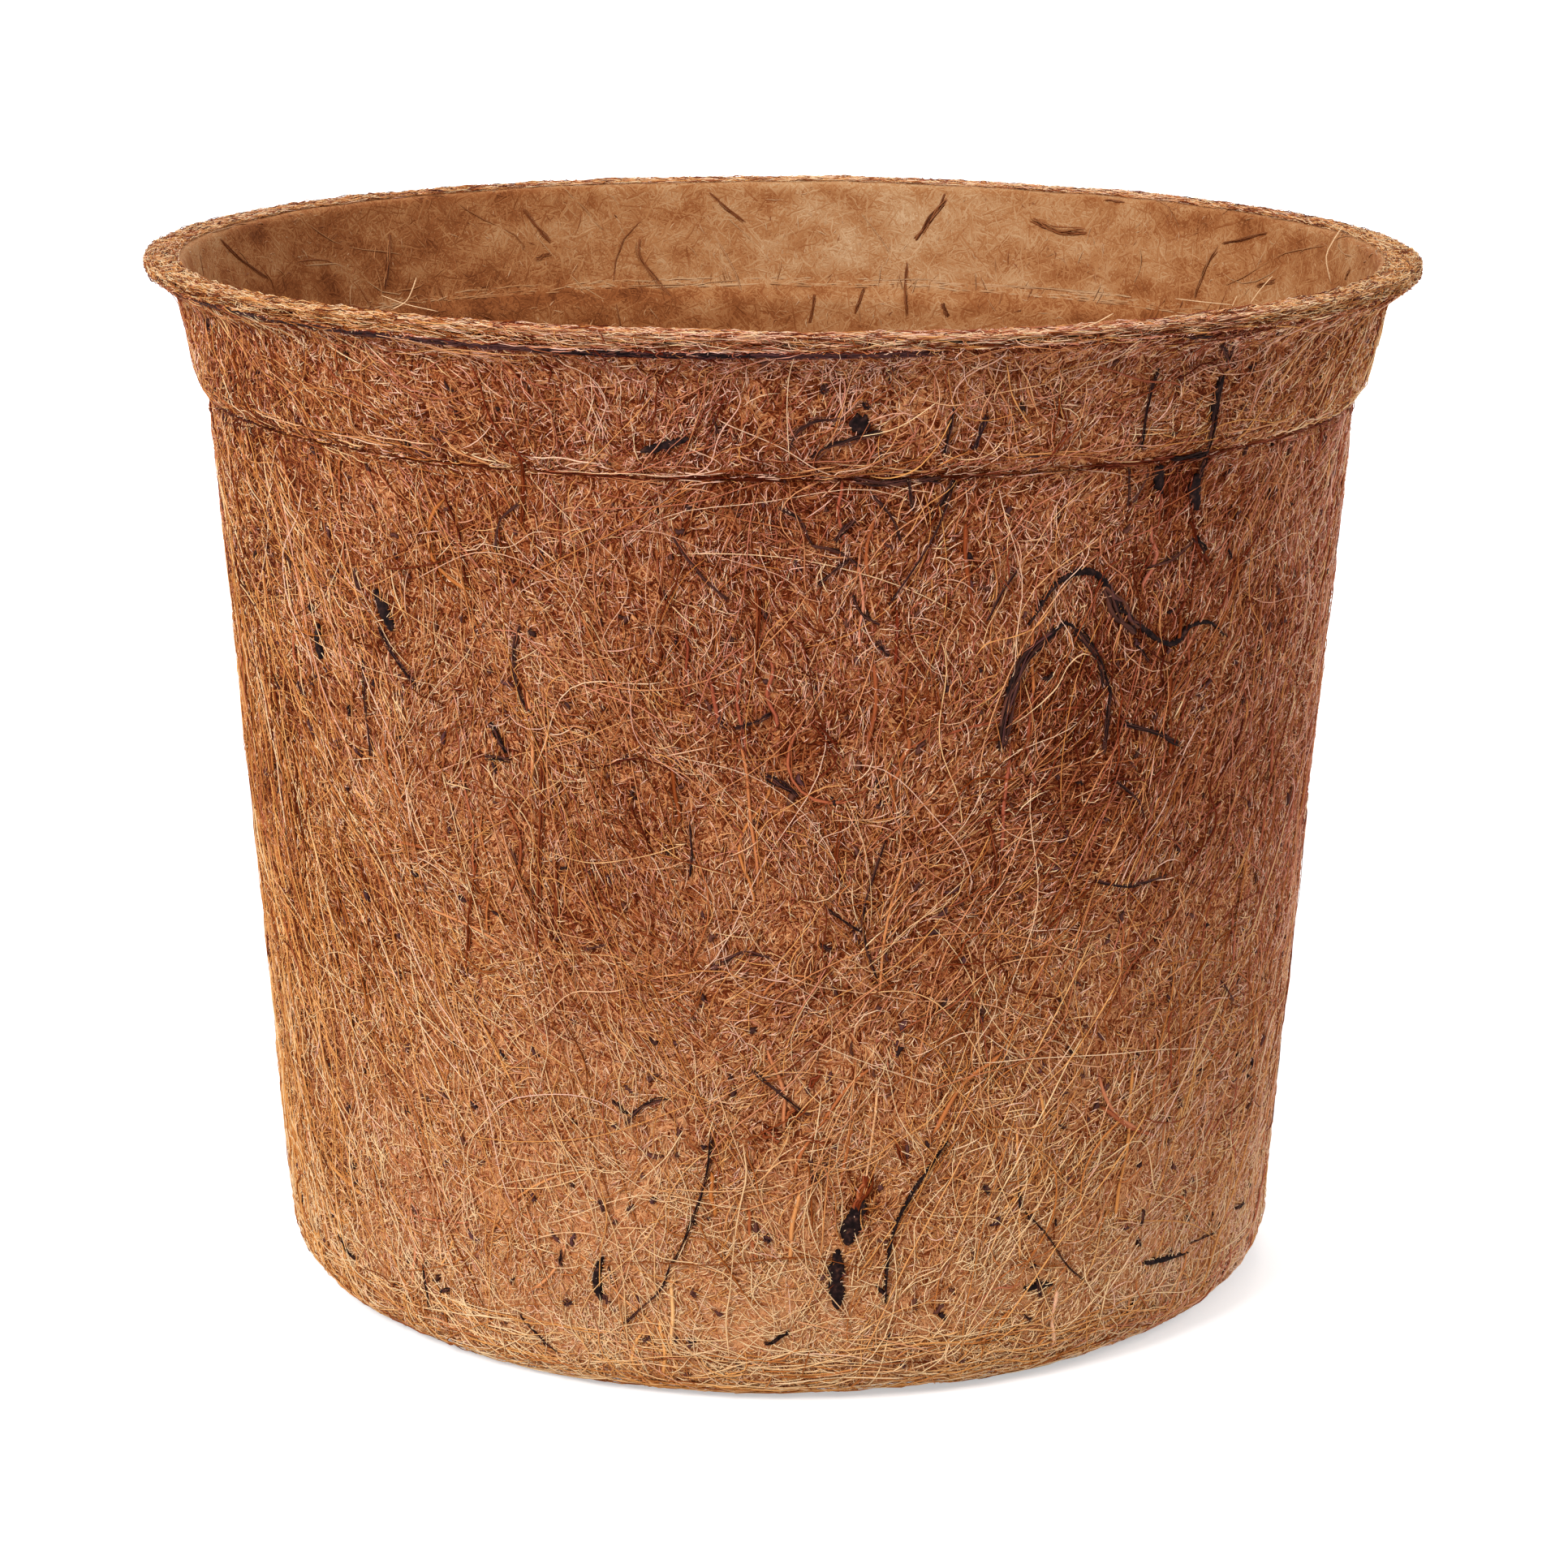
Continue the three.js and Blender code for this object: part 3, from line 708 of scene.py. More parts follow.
SIDES = 3
MOST_FACES = 190_000
MAP_STEP = 0.005  # half the width that a face takes on the map
PALEST = 0.78  # tone of the palest fibre
END_WIDTH = 0.35  # at the tips of a fibre, as a share of its width
END_DEPTH = 0.25  # by which the ends of a traced or scattered strand are tucked into the mat
TEAR = 0.3  # unevenness in the width of a traced or scattered strand
TUFT_LENGTH = 1.6
TUFT_WIDTH = 1.2
TUFT_FAN = 0.4  # scatter of directions in a tuft
TUFT_TONES = 0.06  # scatter from tuft to tuft
TUFT_HUES = 0.4
TUFT_ARCH = (0.1, 0.35)  # height of the middle of a fibre over its ends
# Painted light and shade: fibres high in a mat are made paler and deep ones darker
TOP_PAINTED_LIGHT = 0.25  # the top of a mat against its bottom
STRANDS_COMBED = 0.6  # share that follows the grain
STRAND_BEND = 1.1
STRAND_WIGGLE = 0.3
STRAND_WEAVE = 0.1
STRAND_END_DROP = 0.2
STRAND_HUES = 0.3
ALIGNED_SCATTER = 0.1
ALIGNED_BEND = 0.2  # against the bend of other strands
ALIGNED_WIGGLE = 0.4
WHOLE_WIDTH = 0.7  # of a strand that isn't frayed, against its traced width
FRAY_WIDTH = 0.32
FRAY_SPREAD = 0.25
GRAIN_SWAY = 0.75
GRAIN_FAN = 0.58  # lean of the grain towards both sides of the pot
HUSK_RAGGED = 0.16
HUSK_BLUNT = 2.6
HUSK_TOP = 0.2  # over the face of the wall
HUSK_EDGE_DROP = 0.24
HUSK_ROUGH = 0.02
HUSK_DEPTH = 0.45  # under the face of the wall
FIBRE_SLOTS = {"coir": "coir_felt", "dark": "coir_felt", "lining": "coir_lining"}


def tubes(points, normals, radius, flatness):
    """Vertices and faces of closed three-sided tubes along rows of points."""
    count, rings, _ = points.shape
    along = unit(np.gradient(points, axis=1))
    side = unit(np.cross(along, normals))
    upward = np.cross(side, along)
    turn = TURN * (np.arange(SIDES) / SIDES + 0.25)
    across = np.cos(turn)[:, None] * side[:, :, None, :]
    raised = flatness * np.sin(turn)[:, None] * upward[:, :, None, :]
    vertices = points[:, :, None, :] + radius[:, :, None, None] * (across + raised)
    start = (np.arange(count) * rings * SIDES)[:, None, None]
    ring = (np.arange(rings - 1) * SIDES)[None, :, None]
    corner = np.arange(SIDES)[None, None, :]
    here = start + ring + corner
    beside = start + ring + (corner + 1) % SIDES
    quads = np.stack([here, here + SIDES, beside + SIDES, beside], -1).reshape(-1, 4)
    first = start[:, :, 0] + np.arange(SIDES)[None, :]
    last = first[:, ::-1] + (rings - 1) * SIDES
    return vertices.reshape(-1, 3), [quads, np.concatenate([first, last])]


def map_places(tone, hue, rings):
    """A place on the map for each vertex: across by tone, up by hue, with a little width for each face."""
    edge = 4 * MAP_STEP
    u = np.clip(tone, 0, PALEST)[:, None] * (1 - 2 * edge) + edge
    u = u + MAP_STEP * np.where(np.arange(rings) % 2, 1, -1)[None, :]
    v = np.clip(hue, 0, 1)[:, None, None] * (1 - 2 * edge) + edge
    v = v + MAP_STEP * np.array([-1, 1, 0])[None, None, :]
    u = u[:, :, None] + MAP_STEP * np.array([0, 0, 1.5])[None, None, :]
    return np.stack(np.broadcast_arrays(u, v), -1).reshape(-1, 2)


def fibre_pieces(name, points, normals, thickness, tone, hue, look):
    """Pieces of fibres along rows of points, in sectors round the pot, none of them too large."""
    rings = points.shape[1]
    per_fibre = (rings - 1) * SIDES * 2 + 2
    sectors = max(1, math.ceil(len(points) * per_fibre / MOST_FACES))
    middle = points[:, rings // 2]
    order = np.argsort(np.arctan2(middle[:, 0], -middle[:, 1]), kind="stable")
    taper = np.ones(rings)
    taper[[0, -1]] = END_WIDTH
    radius = np.broadcast_to(thickness.reshape(len(points), -1) / 2, (len(points), rings)) * taper
    for number, chosen in enumerate(np.array_split(order, sectors)):
        vertices, faces = tubes(points[chosen], normals[chosen], radius[chosen], look.flatness)
        places = map_places(tone[chosen], hue[chosen], rings)
        corners = np.concatenate([group.ravel() for group in faces])
        title = name if sectors == 1 else f"{name}_{number + 1}"
        piece = mesh_object(title, vertices, faces, places[corners])
        finished(piece, fibre_materials[look.kind], FIBRE_SLOTS[look.kind])


def course(s, theta, heading, bend, wiggle, length, steps):
    """Places along fibres whose middles are at s and theta. A heading of 0 runs up the section."""
    share = (np.arange(steps) + 0.5) / steps - 0.5
    way = heading[:, None] + bend[:, None] * share + wiggle[:, None] * np.sin(TURN * 1.3 * share)
    hop = (length / steps)[:, None]
    still = np.zeros((len(s), 1))
    up = np.concatenate([still, np.cumsum(np.cos(way) * hop, 1)], 1)
    across = np.concatenate([still, np.cumsum(np.sin(way) * hop, 1)], 1)
    up -= up.mean(1, keepdims=True)
    across -= across.mean(1, keepdims=True)
    return s[:, None] + up, theta[:, None] + across / skin.radius(s)[:, None]


def kept_between(path_s, s_from, s_to):
    """Fibres that would cross an edge of their zone are pressed flat along it."""
    middle = np.clip(path_s.mean(1, keepdims=True), s_from + 0.05, s_to - 0.05)
    reach = path_s - path_s.mean(1, keepdims=True)
    down = np.maximum(-reach.min(1, keepdims=True), 1e-6)
    up = np.maximum(reach.max(1, keepdims=True), 1e-6)
    share = np.minimum(1, np.minimum((middle - s_from) / down, (s_to - middle) / up))
    return middle + reach * share


def arched(low, high, rings):
    """Lifts that rise from both ends of a fibre to its middle."""
    share = np.linspace(-1, 1, rings)[None, :]
    return low[:, None] + (high - low)[:, None] * (1 - share**2)


def ripple(rng, along, slowest, fastest, count):
    """A wave along each fibre, with a pace and a start of its own."""
    return np.sin(along * rng.uniform(slowest, fastest, (count, 1)) + rng.uniform(0, TURN, (count, 1)))


def torn(rng, share, count):
    """Uneven widths along traced or scattered strands, as shares."""
    return 1 + TEAR * ripple(rng, share, 9, 22, count)


def tucked(share):
    """How deep the ends of a traced or scattered strand lie."""
    return END_DEPTH * np.abs(2 * share - 1) ** 6


tone_field = waves(21, 18, 14, 120)
hue_field = waves(22, 14, 20, 150)
grain = waves(23, 12, 12, 60)
mottle = waves(24, 48, 2.6, 12)
# Real stains outside, and painted light and shade inside
stain_and_painted_light_spots = [(*on_outside(pixel), reach, depth) for pixel, reach, depth in STAINS_OUTSIDE]
stain_and_painted_light_spots += [(*on_inside(pixel), reach, depth) for pixel, reach, depth in INSIDE_PAINTED_LIGHT_AND_SHADE]


def foot_edge(s):
    """1 at the foot, falling to 0 a little way up the wall."""
    return np.clip(1 - skin.height(s) / FOOT_EDGE_HEIGHT, 0, 1)


def local_tone(theta, s):
    """How much lighter or darker than the mean the coir is here: slow blotches, stains, mottling inside and a
    darker foot edge, with painted light that makes the foot and the collar paler, painted shade at the left
    edge, under the lip and under the inside ledge, and painted light and shade in patches inside.
    """
    outside = s < S_LIP
    lower = np.clip(1 - skin.height(s) / (FOOT_FADE * POT_HEIGHT), 0, 1)
    total = BLOTCHES * tone_field(theta, s) + outside * FOOT_PAINTED_BOUNCE * lower**2
    total = total - FOOT_EDGE_DARKER * outside * foot_edge(s)
    total = total - LEFT_PAINTED_SHADE * outside * np.clip((-np.sin(theta) - LEFT_FROM) / LEFT_RUN, 0, 1)
    total = total + COLLAR_PAINTED_LIGHT * outside * (s > S_CREASE)
    total = total - UNDER_RIM_PAINTED_SHADE * np.exp(-(((s - S_LIP + UNDER_RIM_DROP) / UNDER_RIM_HALF) ** 2))
    total = total + (s > S_MOUTH) * INSIDE_MOTTLING * mottle(theta, s)
    total = total - INSIDE_DARKER * (s > S_MOUTH)
    under_ledge = np.clip((s - S_LEDGE + UNDER_LEDGE_START) / UNDER_LEDGE_RUN, 0, 1)
    total = total - UNDER_LEDGE_PAINTED_SHADE * under_ledge
    for at_s, at_theta, reach, depth in stain_and_painted_light_spots:
        away = (theta - at_theta + math.pi) % TURN - math.pi
        apart = np.hypot(s - at_s, away * MEAN_RADIUS) / reach
        total = total - depth * np.exp(-apart**2)
    return total


def local_hue(theta, s):
    """How much redder or more golden than the mean the coir is here."""
    outside = s < S_LIP
    upper = skin.height(s) / POT_HEIGHT - 0.5
    flank = np.clip((np.sin(theta) - FLANK_FROM) / FLANK_RUN, 0, 1)
    below = RIGHT_REDDER * np.sin(theta)
    above = -SIDES_MORE_GOLDEN * np.sin(theta) ** 2
    across = (s < S_MOUTH) * np.where(s < S_CREASE, below, above)
    foot = FOOT_REDDER * foot_edge(s)
    rim = RIM_FRONT_REDDER * ((s > S_LIP) & (s < S_MOUTH)) * np.clip(np.cos(theta), 0, 1)
    wall = outside * (UPPER_REDDER * upper + FLANK_REDDER * flank + foot)
    return HUE_BLOTCHES * hue_field(theta, s) + wall + across + rim


def headings(rng, s, theta, combed):
    """Directions of fibres: a share of them follow the grain of the mat there, and the rest lie any way."""
    count = len(s)
    follow = rng.random(count) < combed * np.clip(0.3 + 1.4 * skin.height(s) / POT_HEIGHT, 0, 1)
    lean = GRAIN_SWAY * grain(theta, s) + GRAIN_FAN * np.tanh(2.2 * np.sin(theta))
    with_grain = lean + rng.normal(0, 0.2, count)
    return np.where(follow, with_grain, rng.uniform(-math.pi / 2, math.pi / 2, count))


@dataclass
class Look:
    """What fibres of one kind share: mean tone and hue, range of thickness, and spread of tones."""

    tone: float
    hue: float
    thickness: tuple
    spread: float = 0.2
    flatness: float = 1.0
    kind: str = "coir"


def mat(name, seed, zone, look, tufts, each, length, steps, curl, combed, lift):
    """Short fibres in tufts that lie one way, pressed into a mat. The ones on top are paler, as painted
    light, and the deep ones darker, as painted shade.
    """
    rng = np.random.default_rng(seed)
    whose = np.repeat(np.arange(tufts), each)
    total = len(whose)
    tuft_s, tuft_theta = rng.uniform(*zone, tufts), rng.uniform(0, TURN, tufts)
    heading = headings(rng, tuft_s, tuft_theta, combed)[whose] + rng.normal(0, TUFT_FAN, total)
    along, across = rng.normal(0, TUFT_LENGTH, total), rng.normal(0, TUFT_WIDTH, total)
    s = tuft_s[whose] + along * np.cos(heading) - across * np.sin(heading)
    s = np.clip(s, zone[0] + 0.1, zone[1] - 0.1)
    theta = tuft_theta[whose] + (along * np.sin(heading) + across * np.cos(heading)) / skin.radius(s)
    bend = rng.normal(0, curl, tufts)[whose] + rng.normal(0, curl, total)
    path_s, path_theta = course(s, theta, heading, bend, 0 * bend, rng.uniform(*length, total), steps)
    path_s = kept_between(path_s, *zone)
    high = rng.uniform(*lift, total)
    lifts = arched(high - rng.uniform(*TUFT_ARCH, total), high, steps + 1)
    depth = (high - lift[0]) / (lift[1] - lift[0]) - 0.5
    higher = 0.55 + 0.7 * skin.height(s) / POT_HEIGHT
    facing = 0.68 + 0.32 * np.cos(theta) ** 2
    spread = look.spread * higher * facing  # tones differ less at the foot and at the sides
    shade = look.tone + rng.normal(0, 1, total) * spread + rng.normal(0, TUFT_TONES, tufts)[whose]
    shade = shade + TOP_PAINTED_LIGHT * depth + local_tone(theta, s)
    hues = look.hue + rng.normal(0, TUFT_HUES, total) + local_hue(theta, s)
    points, normals = skin.place(path_s, path_theta, lifts)
    fibre_pieces(name, points, normals, rng.uniform(*look.thickness, total), shade, hues, look)


def strands(name, seed, zone, look, count, length, steps, lift, lie=None, aligned=0, around=(0, TURN)):
    """Long single fibres over the mat, a share of them aligned to one heading and the rest any way."""
    rng = np.random.default_rng(seed)
    s, theta = rng.uniform(*zone, count), rng.uniform(*around, count)
    heading = headings(rng, s, theta, STRANDS_COMBED)
    bend, wiggle = rng.normal(0, STRAND_BEND, count), rng.normal(0, STRAND_WIGGLE, count)
    chosen = rng.random(count) < aligned
    if aligned:
        heading[chosen] = lie + rng.normal(0, ALIGNED_SCATTER, chosen.sum())
        bend[chosen] *= ALIGNED_BEND
        wiggle[chosen] *= ALIGNED_WIGGLE
    path_s, path_theta = course(s, theta, heading, bend, wiggle, rng.uniform(*length, count), steps)
    path_s = kept_between(path_s, *zone)
    share = np.linspace(0, 1, steps + 1)[None, :]
    weave = ripple(rng, share * TURN, 1, 3, count)
    lifts = rng.uniform(*lift, (count, 1)) + STRAND_WEAVE * weave
    lifts[:, [0, -1]] -= STRAND_END_DROP
    shade = look.tone + rng.normal(0, look.spread, count) + local_tone(theta, s)
    hues = look.hue + rng.normal(0, STRAND_HUES, count) + local_hue(theta, s)
    points, normals = skin.place(path_s, path_theta, lifts)
    fibre_pieces(name, points, normals, rng.uniform(*look.thickness, count), shade, hues, look)


def disc_mat(name, seed, height, facing, edge, count, look):
    """Fibres that lie any way on the underside or on the inside floor."""
    rng = np.random.default_rng(seed)
    reach = np.sqrt(rng.uniform((DRAIN_RADIUS + 2) ** 2, edge**2, count))
    theta = rng.uniform(0, TURN, count)
    heading, bend = rng.uniform(0, math.pi, count), rng.normal(0, 0.8, count)
    share = np.linspace(-0.5, 0.5, 4)[None, :]
    way = heading[:, None] + bend[:, None] * share
    length = rng.uniform(3, 7, count)[:, None] * share
    x = (reach * np.sin(theta))[:, None] + length * np.cos(way)
    y = (-reach * np.cos(theta))[:, None] + length * np.sin(way)
    spread = np.hypot(x, y)
    fit = np.clip(spread, DRAIN_RADIUS + 0.3, edge) / spread
    z = height - facing * NAP + facing * arched(np.full(count, -0.12), rng.uniform(-0.02, 0.12, count), 4)
    points = np.stack([x * fit, y * fit, z], -1)
    normals = np.broadcast_to(np.array([0.0, 0.0, facing]), points.shape)
    shade = look.tone + rng.normal(0, look.spread, count)
    hues = look.hue + rng.normal(0, 0.22, count)
    fibre_pieces(name, points, normals, rng.uniform(*look.thickness, count), shade, hues, look)


def sideways(s, theta, aside):
    """Places beside a traced line, by a distance to its right."""
    way = unit(np.stack([np.gradient(s, axis=-1), np.gradient(theta, axis=-1) * skin.radius(s)], -1))
    return s - aside * way[..., 1], theta + aside * way[..., 0] / skin.radius(s)


def traced_strands(name, seed, routes, face, outward, look, frays=1, rings=18):
    """Fibres and specks along routes of pixels, uneven in width, each one split into so many frays."""
    rng = np.random.default_rng(seed)
    paths = np.repeat(np.array([traced(route, rings, face) for _, route in routes]), frays, axis=0)
    wide = np.repeat([width / PIXELS_PER_MM for width, _ in routes], frays)[:, None]
    count = len(paths)
    share = np.linspace(0, 1, rings)[None, :]
    rough = torn(rng, share, count)
    weave = ripple(rng, share * TURN, 0.7, 2, count)
    aside = wide * (rng.normal(0, FRAY_SPREAD, (count, 1)) + 0.2 * weave) * (frays > 1)
    path_s, path_theta = sideways(paths[:, 0], paths[:, 1], aside)
    lifts = outward + rng.uniform(-0.08, 0.08, (count, 1)) + 0.06 * weave - tucked(share)
    points, normals = skin.place(path_s, path_theta, lifts)
    shade = look.tone + rng.normal(0, look.spread, count)
    hues = look.hue + rng.normal(0, 0.15, count)
    thickness = wide * rough * (WHOLE_WIDTH if frays == 1 else FRAY_WIDTH)
    fibre_pieces(name, points, normals, thickness, shade, hues, look)


def scattered(name, seed, zone, look, around, count, length, lift, rings=10):
    """Dark strands and specks at random, like the photographed ones."""
    rng = np.random.default_rng(seed)
    s = rng.uniform(*zone, count)
    theta = rng.uniform(*around, count)
    heading = headings(rng, s, theta, 0.5)
    bend, wiggle = rng.normal(0, 0.9, count), rng.normal(0, 0.5, count)
    path_s, path_theta = course(s, theta, heading, bend, wiggle, rng.uniform(*length, count), rings - 1)
    path_s = kept_between(path_s, *zone)
    share = np.linspace(0, 1, rings)[None, :]
    rough = torn(rng, share, count)
    lifts = lift - tucked(share) + np.zeros((count, 1))
    points, normals = skin.place(path_s, path_theta, lifts)
    wide = rng.uniform(*look.thickness, count)[:, None] * rough
    shade = look.tone + rng.uniform(-look.spread, look.spread, count)
    fibre_pieces(name, points, normals, wide, shade, rng.uniform(0, 1, count), look)


def rim_strays(name, routes, rings=10):
    """Single fibres that stand up off the rim, each in the upright plane through its foot."""
    rows = []
    for _, route in routes:
        root = sight_line(route[0])
        root = root[np.abs(root[:, 2] - POT_HEIGHT).argmin()]
        reach = np.hypot(root[0], root[1])
        depth = root[1] * np.clip(reach, RIM_RADIUS - RIM_WIDTH, RIM_RADIUS - 1) / reach
        lines = [sight_line(pixel) for pixel in eased(route, rings)]
        rows.append([[np.interp(depth, line[:, 1], column) for column in line.T] for line in lines])
    points = np.array(rows)
    normals = np.broadcast_to(np.array([0.0, -1.0, 0.0]), points.shape)
    wide = 0.75 * np.array([width for width, _ in routes]) / PIXELS_PER_MM
    stray = Look(0.72, 0.2, (0.2, 0.2))
    tone, hue = np.full(len(rows), stray.tone), np.full(len(rows), stray.hue)
    fibre_pieces(name, points, normals, wide, tone, hue, stray)


def husk_piece(node, start_width, end_width, route, seed):
    """A torn flake or strip of husk, pressed into the wall where its solid is."""
    rng = np.random.default_rng(seed)
    rows, columns = 26, 7
    s, theta = traced(route, rows)
    share = np.linspace(-1, 1, rows)
    ragged = 1 + HUSK_RAGGED * np.sin(share[:, None] * rng.uniform(5, 11, 2) + rng.uniform(0, TURN, 2))
    blunt = np.sqrt(np.maximum(1 - np.abs(share) ** HUSK_BLUNT, 0.05))
    width = np.linspace(start_width, end_width, rows) * blunt
    half = width[:, None] / 2 * ragged
    step = np.linspace(-1, 1, columns)
    across = np.where(step < 0, step * half[:, :1], step * half[:, 1:])
    path_s, path_theta = sideways(s[None, :], theta[None, :], across.T)
    arch = HUSK_TOP - HUSK_EDGE_DROP * np.abs(step)[None, :] ** 3
    top_lift = arch + HUSK_ROUGH * rng.standard_normal((rows, columns))
    top, _ = skin.place(path_s.T, path_theta.T, top_lift)
    under, _ = skin.place(path_s.T, path_theta.T, -HUSK_DEPTH)
    number = np.arange(rows * columns).reshape(rows, columns)
    corners = [number[:-1, :-1], number[:-1, 1:], number[1:, 1:], number[1:, :-1]]
    quads = np.stack(corners, -1).reshape(-1, 4)
    edge = np.concatenate([number[0, :-1], number[:-1, -1], number[-1, :0:-1], number[:0:-1, 0]])
    beside = np.roll(edge, -1)
    low = rows * columns
    side = np.stack([edge, edge + low, beside + low, beside], -1)
    faces = [np.concatenate([quads, quads[:, ::-1] + low, side])]
    vertices = np.concatenate([top.reshape(-1, 3), under.reshape(-1, 3)])
    finished(mesh_object(node.replace("husk_", "dark_"), vertices, faces), dark_husk, "husk", node)


# Materials

GIRTH = TURN * MEAN_RADIUS
DASH_ANGLES = (6, 41, 77, 112, 149)
DASH_WIDTH = 0.17
DASH_LENGTH = 2.6
DASH_CURL = 0.7
# Painted shade in the gaps between the dashes of the felt
GAP_PAINTED_SHADE = 0.45  # away from the middle of a dash
MEAN_DASH = 0.28  # mean tone of the dashes, which is moved to the middle of the colours
RELIEF = 0.0002  # in metres
DULL = 0.05  # specular level of felt and husk
GOLDEN = [
    (0.0, (73, 20, 1)), (0.14, (122, 53, 11)), (0.34, (185, 112, 54)),
    (0.55, (224, 160, 91)), (0.76, (241, 206, 157)), (1.0, (252, 236, 212)),
]
REDDISH = [
    (0.0, (69, 15, 3)), (0.14, (115, 42, 20)), (0.34, (168, 88, 64)),
    (0.55, (207, 132, 108)), (0.76, (235, 186, 165)), (1.0, (248, 228, 214)),
]
DARK_BROWN = [(0.0, (16, 9, 8)), (0.5, (38, 22, 18)), (1.0, (122, 72, 52))]
DARK_PURPLE = [(0.0, (16, 10, 11)), (0.5, (38, 23, 25)), (1.0, (110, 66, 66))]
FELT_COLOURS = [(0.0, (70, 18, 2)), (0.35, (114, 47, 17)), (0.65, (166, 95, 53)), (1.0, (212, 150, 102))]
LINING_COLOURS = [
    (0.0, (92, 44, 18)), (0.3, (147, 86, 46)), (0.5, (175, 120, 75)),
    (0.7, (192, 148, 106)), (1.0, (220, 186, 148)),
]
LINING_BROWN = [
    (0.0, (84, 38, 16)), (0.3, (139, 78, 42)), (0.5, (165, 108, 66)),
    (0.7, (185, 136, 95)), (1.0, (214, 176, 140)),
]
HUSK_COLOURS = [(0.35, (18, 11, 11)), (0.5, (30, 18, 18)), (0.62, (48, 30, 27)), (0.75, (88, 55, 43))]


def material_with_nodes(name):
    """A new material, its nodes and its shader."""
    material = bpy.data.materials.new(name)
    material.use_nodes = True
    return material, material.node_tree, material.node_tree.nodes["Principled BSDF"]


def feed(tree, node, inputs):
    """Links inputs of a node to sockets of other nodes, or sets them to plain values."""
    for name, value in inputs.items():
        if isinstance(value, bpy.types.NodeSocket):
            tree.links.new(value, node.inputs[name])
        else:
            node.inputs[name].default_value = value


def math_node(tree, operation, *values):
    """The result of a Math node fed by sockets or plain numbers."""
    node = tree.nodes.new("ShaderNodeMath")
    node.operation = operation
    feed(tree, node, dict(enumerate(values)))
    return node.outputs[0]


def ramp(tree, stops, position):
    """The colour at a position along a ramp."""
    node = tree.nodes.new("ShaderNodeValToRGB")
    elements = node.color_ramp.elements
    while len(elements) < len(stops):
        elements.new(0.5)
    for element, (place, colour) in zip(elements, stops):
        element.position = place
        element.color = srgb(*colour)
    feed(tree, node, {"Fac": position})
    return node.outputs["Color"]


def map_place(tree):
    """Places on the map that the pieces are made with."""
    node = tree.nodes.new("ShaderNodeUVMap")
    node.uv_map = "OFBake"
    return node.outputs["UV"]


def colour_socket(sockets, name):
    """The colour socket among those that share a name."""
    return next(socket for socket in sockets if socket.name == name and socket.type == "RGBA")


def bumped(tree, shader, height, strength):
    """Relief on a shader."""
    bump = tree.nodes.new("ShaderNodeBump")
    feed(tree, bump, {"Strength": strength, "Distance": RELIEF, "Height": height})
    feed(tree, shader, {"Normal": bump.outputs["Normal"]})


def fibre_material(name, golden, reddish, specular):
    """Coir fibre: its place across the map gives its tone, and its place up the map how red it is."""
    material, tree, shader = material_with_nodes(name)
    split = tree.nodes.new("ShaderNodeSeparateXYZ")
    feed(tree, split, {0: map_place(tree)})
    blend = tree.nodes.new("ShaderNodeMix")
    blend.data_type = "RGBA"
    feed(tree, blend, {"Factor": split.outputs["Y"]})
    for stops, socket in ((golden, "A"), (reddish, "B")):
        tree.links.new(ramp(tree, stops, split.outputs["X"]), colour_socket(blend.inputs, socket))
    colour = colour_socket(blend.outputs, "Result")
    feed(tree, shader, {"Base Color": colour, "Roughness": 0.45, "Specular IOR Level": specular})
    return material


def dashes(tree, place, angle):
    """Dashes in one direction: how high each one lies, its tone, and the distance from its middle."""
    turn = tree.nodes.new("ShaderNodeMapping")
    turn.vector_type = "TEXTURE"
    feed(tree, turn, {
        "Vector": place,
        "Location": (angle * 3.1, angle * 1.7, 0),
        "Rotation": (0, 0, math.radians(angle)),
        "Scale": (DASH_WIDTH, DASH_LENGTH, 1),
    })
    cells = tree.nodes.new("ShaderNodeTexVoronoi")
    cells.voronoi_dimensions = "2D"
    feed(tree, cells, {"Scale": 1.0, "Vector": turn.outputs["Vector"]})
    own = tree.nodes.new("ShaderNodeSeparateColor")
    feed(tree, own, {"Color": cells.outputs["Color"]})
    return own.outputs["Green"], own.outputs["Red"], cells.outputs["Distance"]


def picked(tree, over, below, above):
    """The value above where its dash lies over the one below."""
    pick = tree.nodes.new("ShaderNodeMix")
    feed(tree, pick, {"Factor": over, "A": below, "B": above})
    return pick.outputs["Result"]


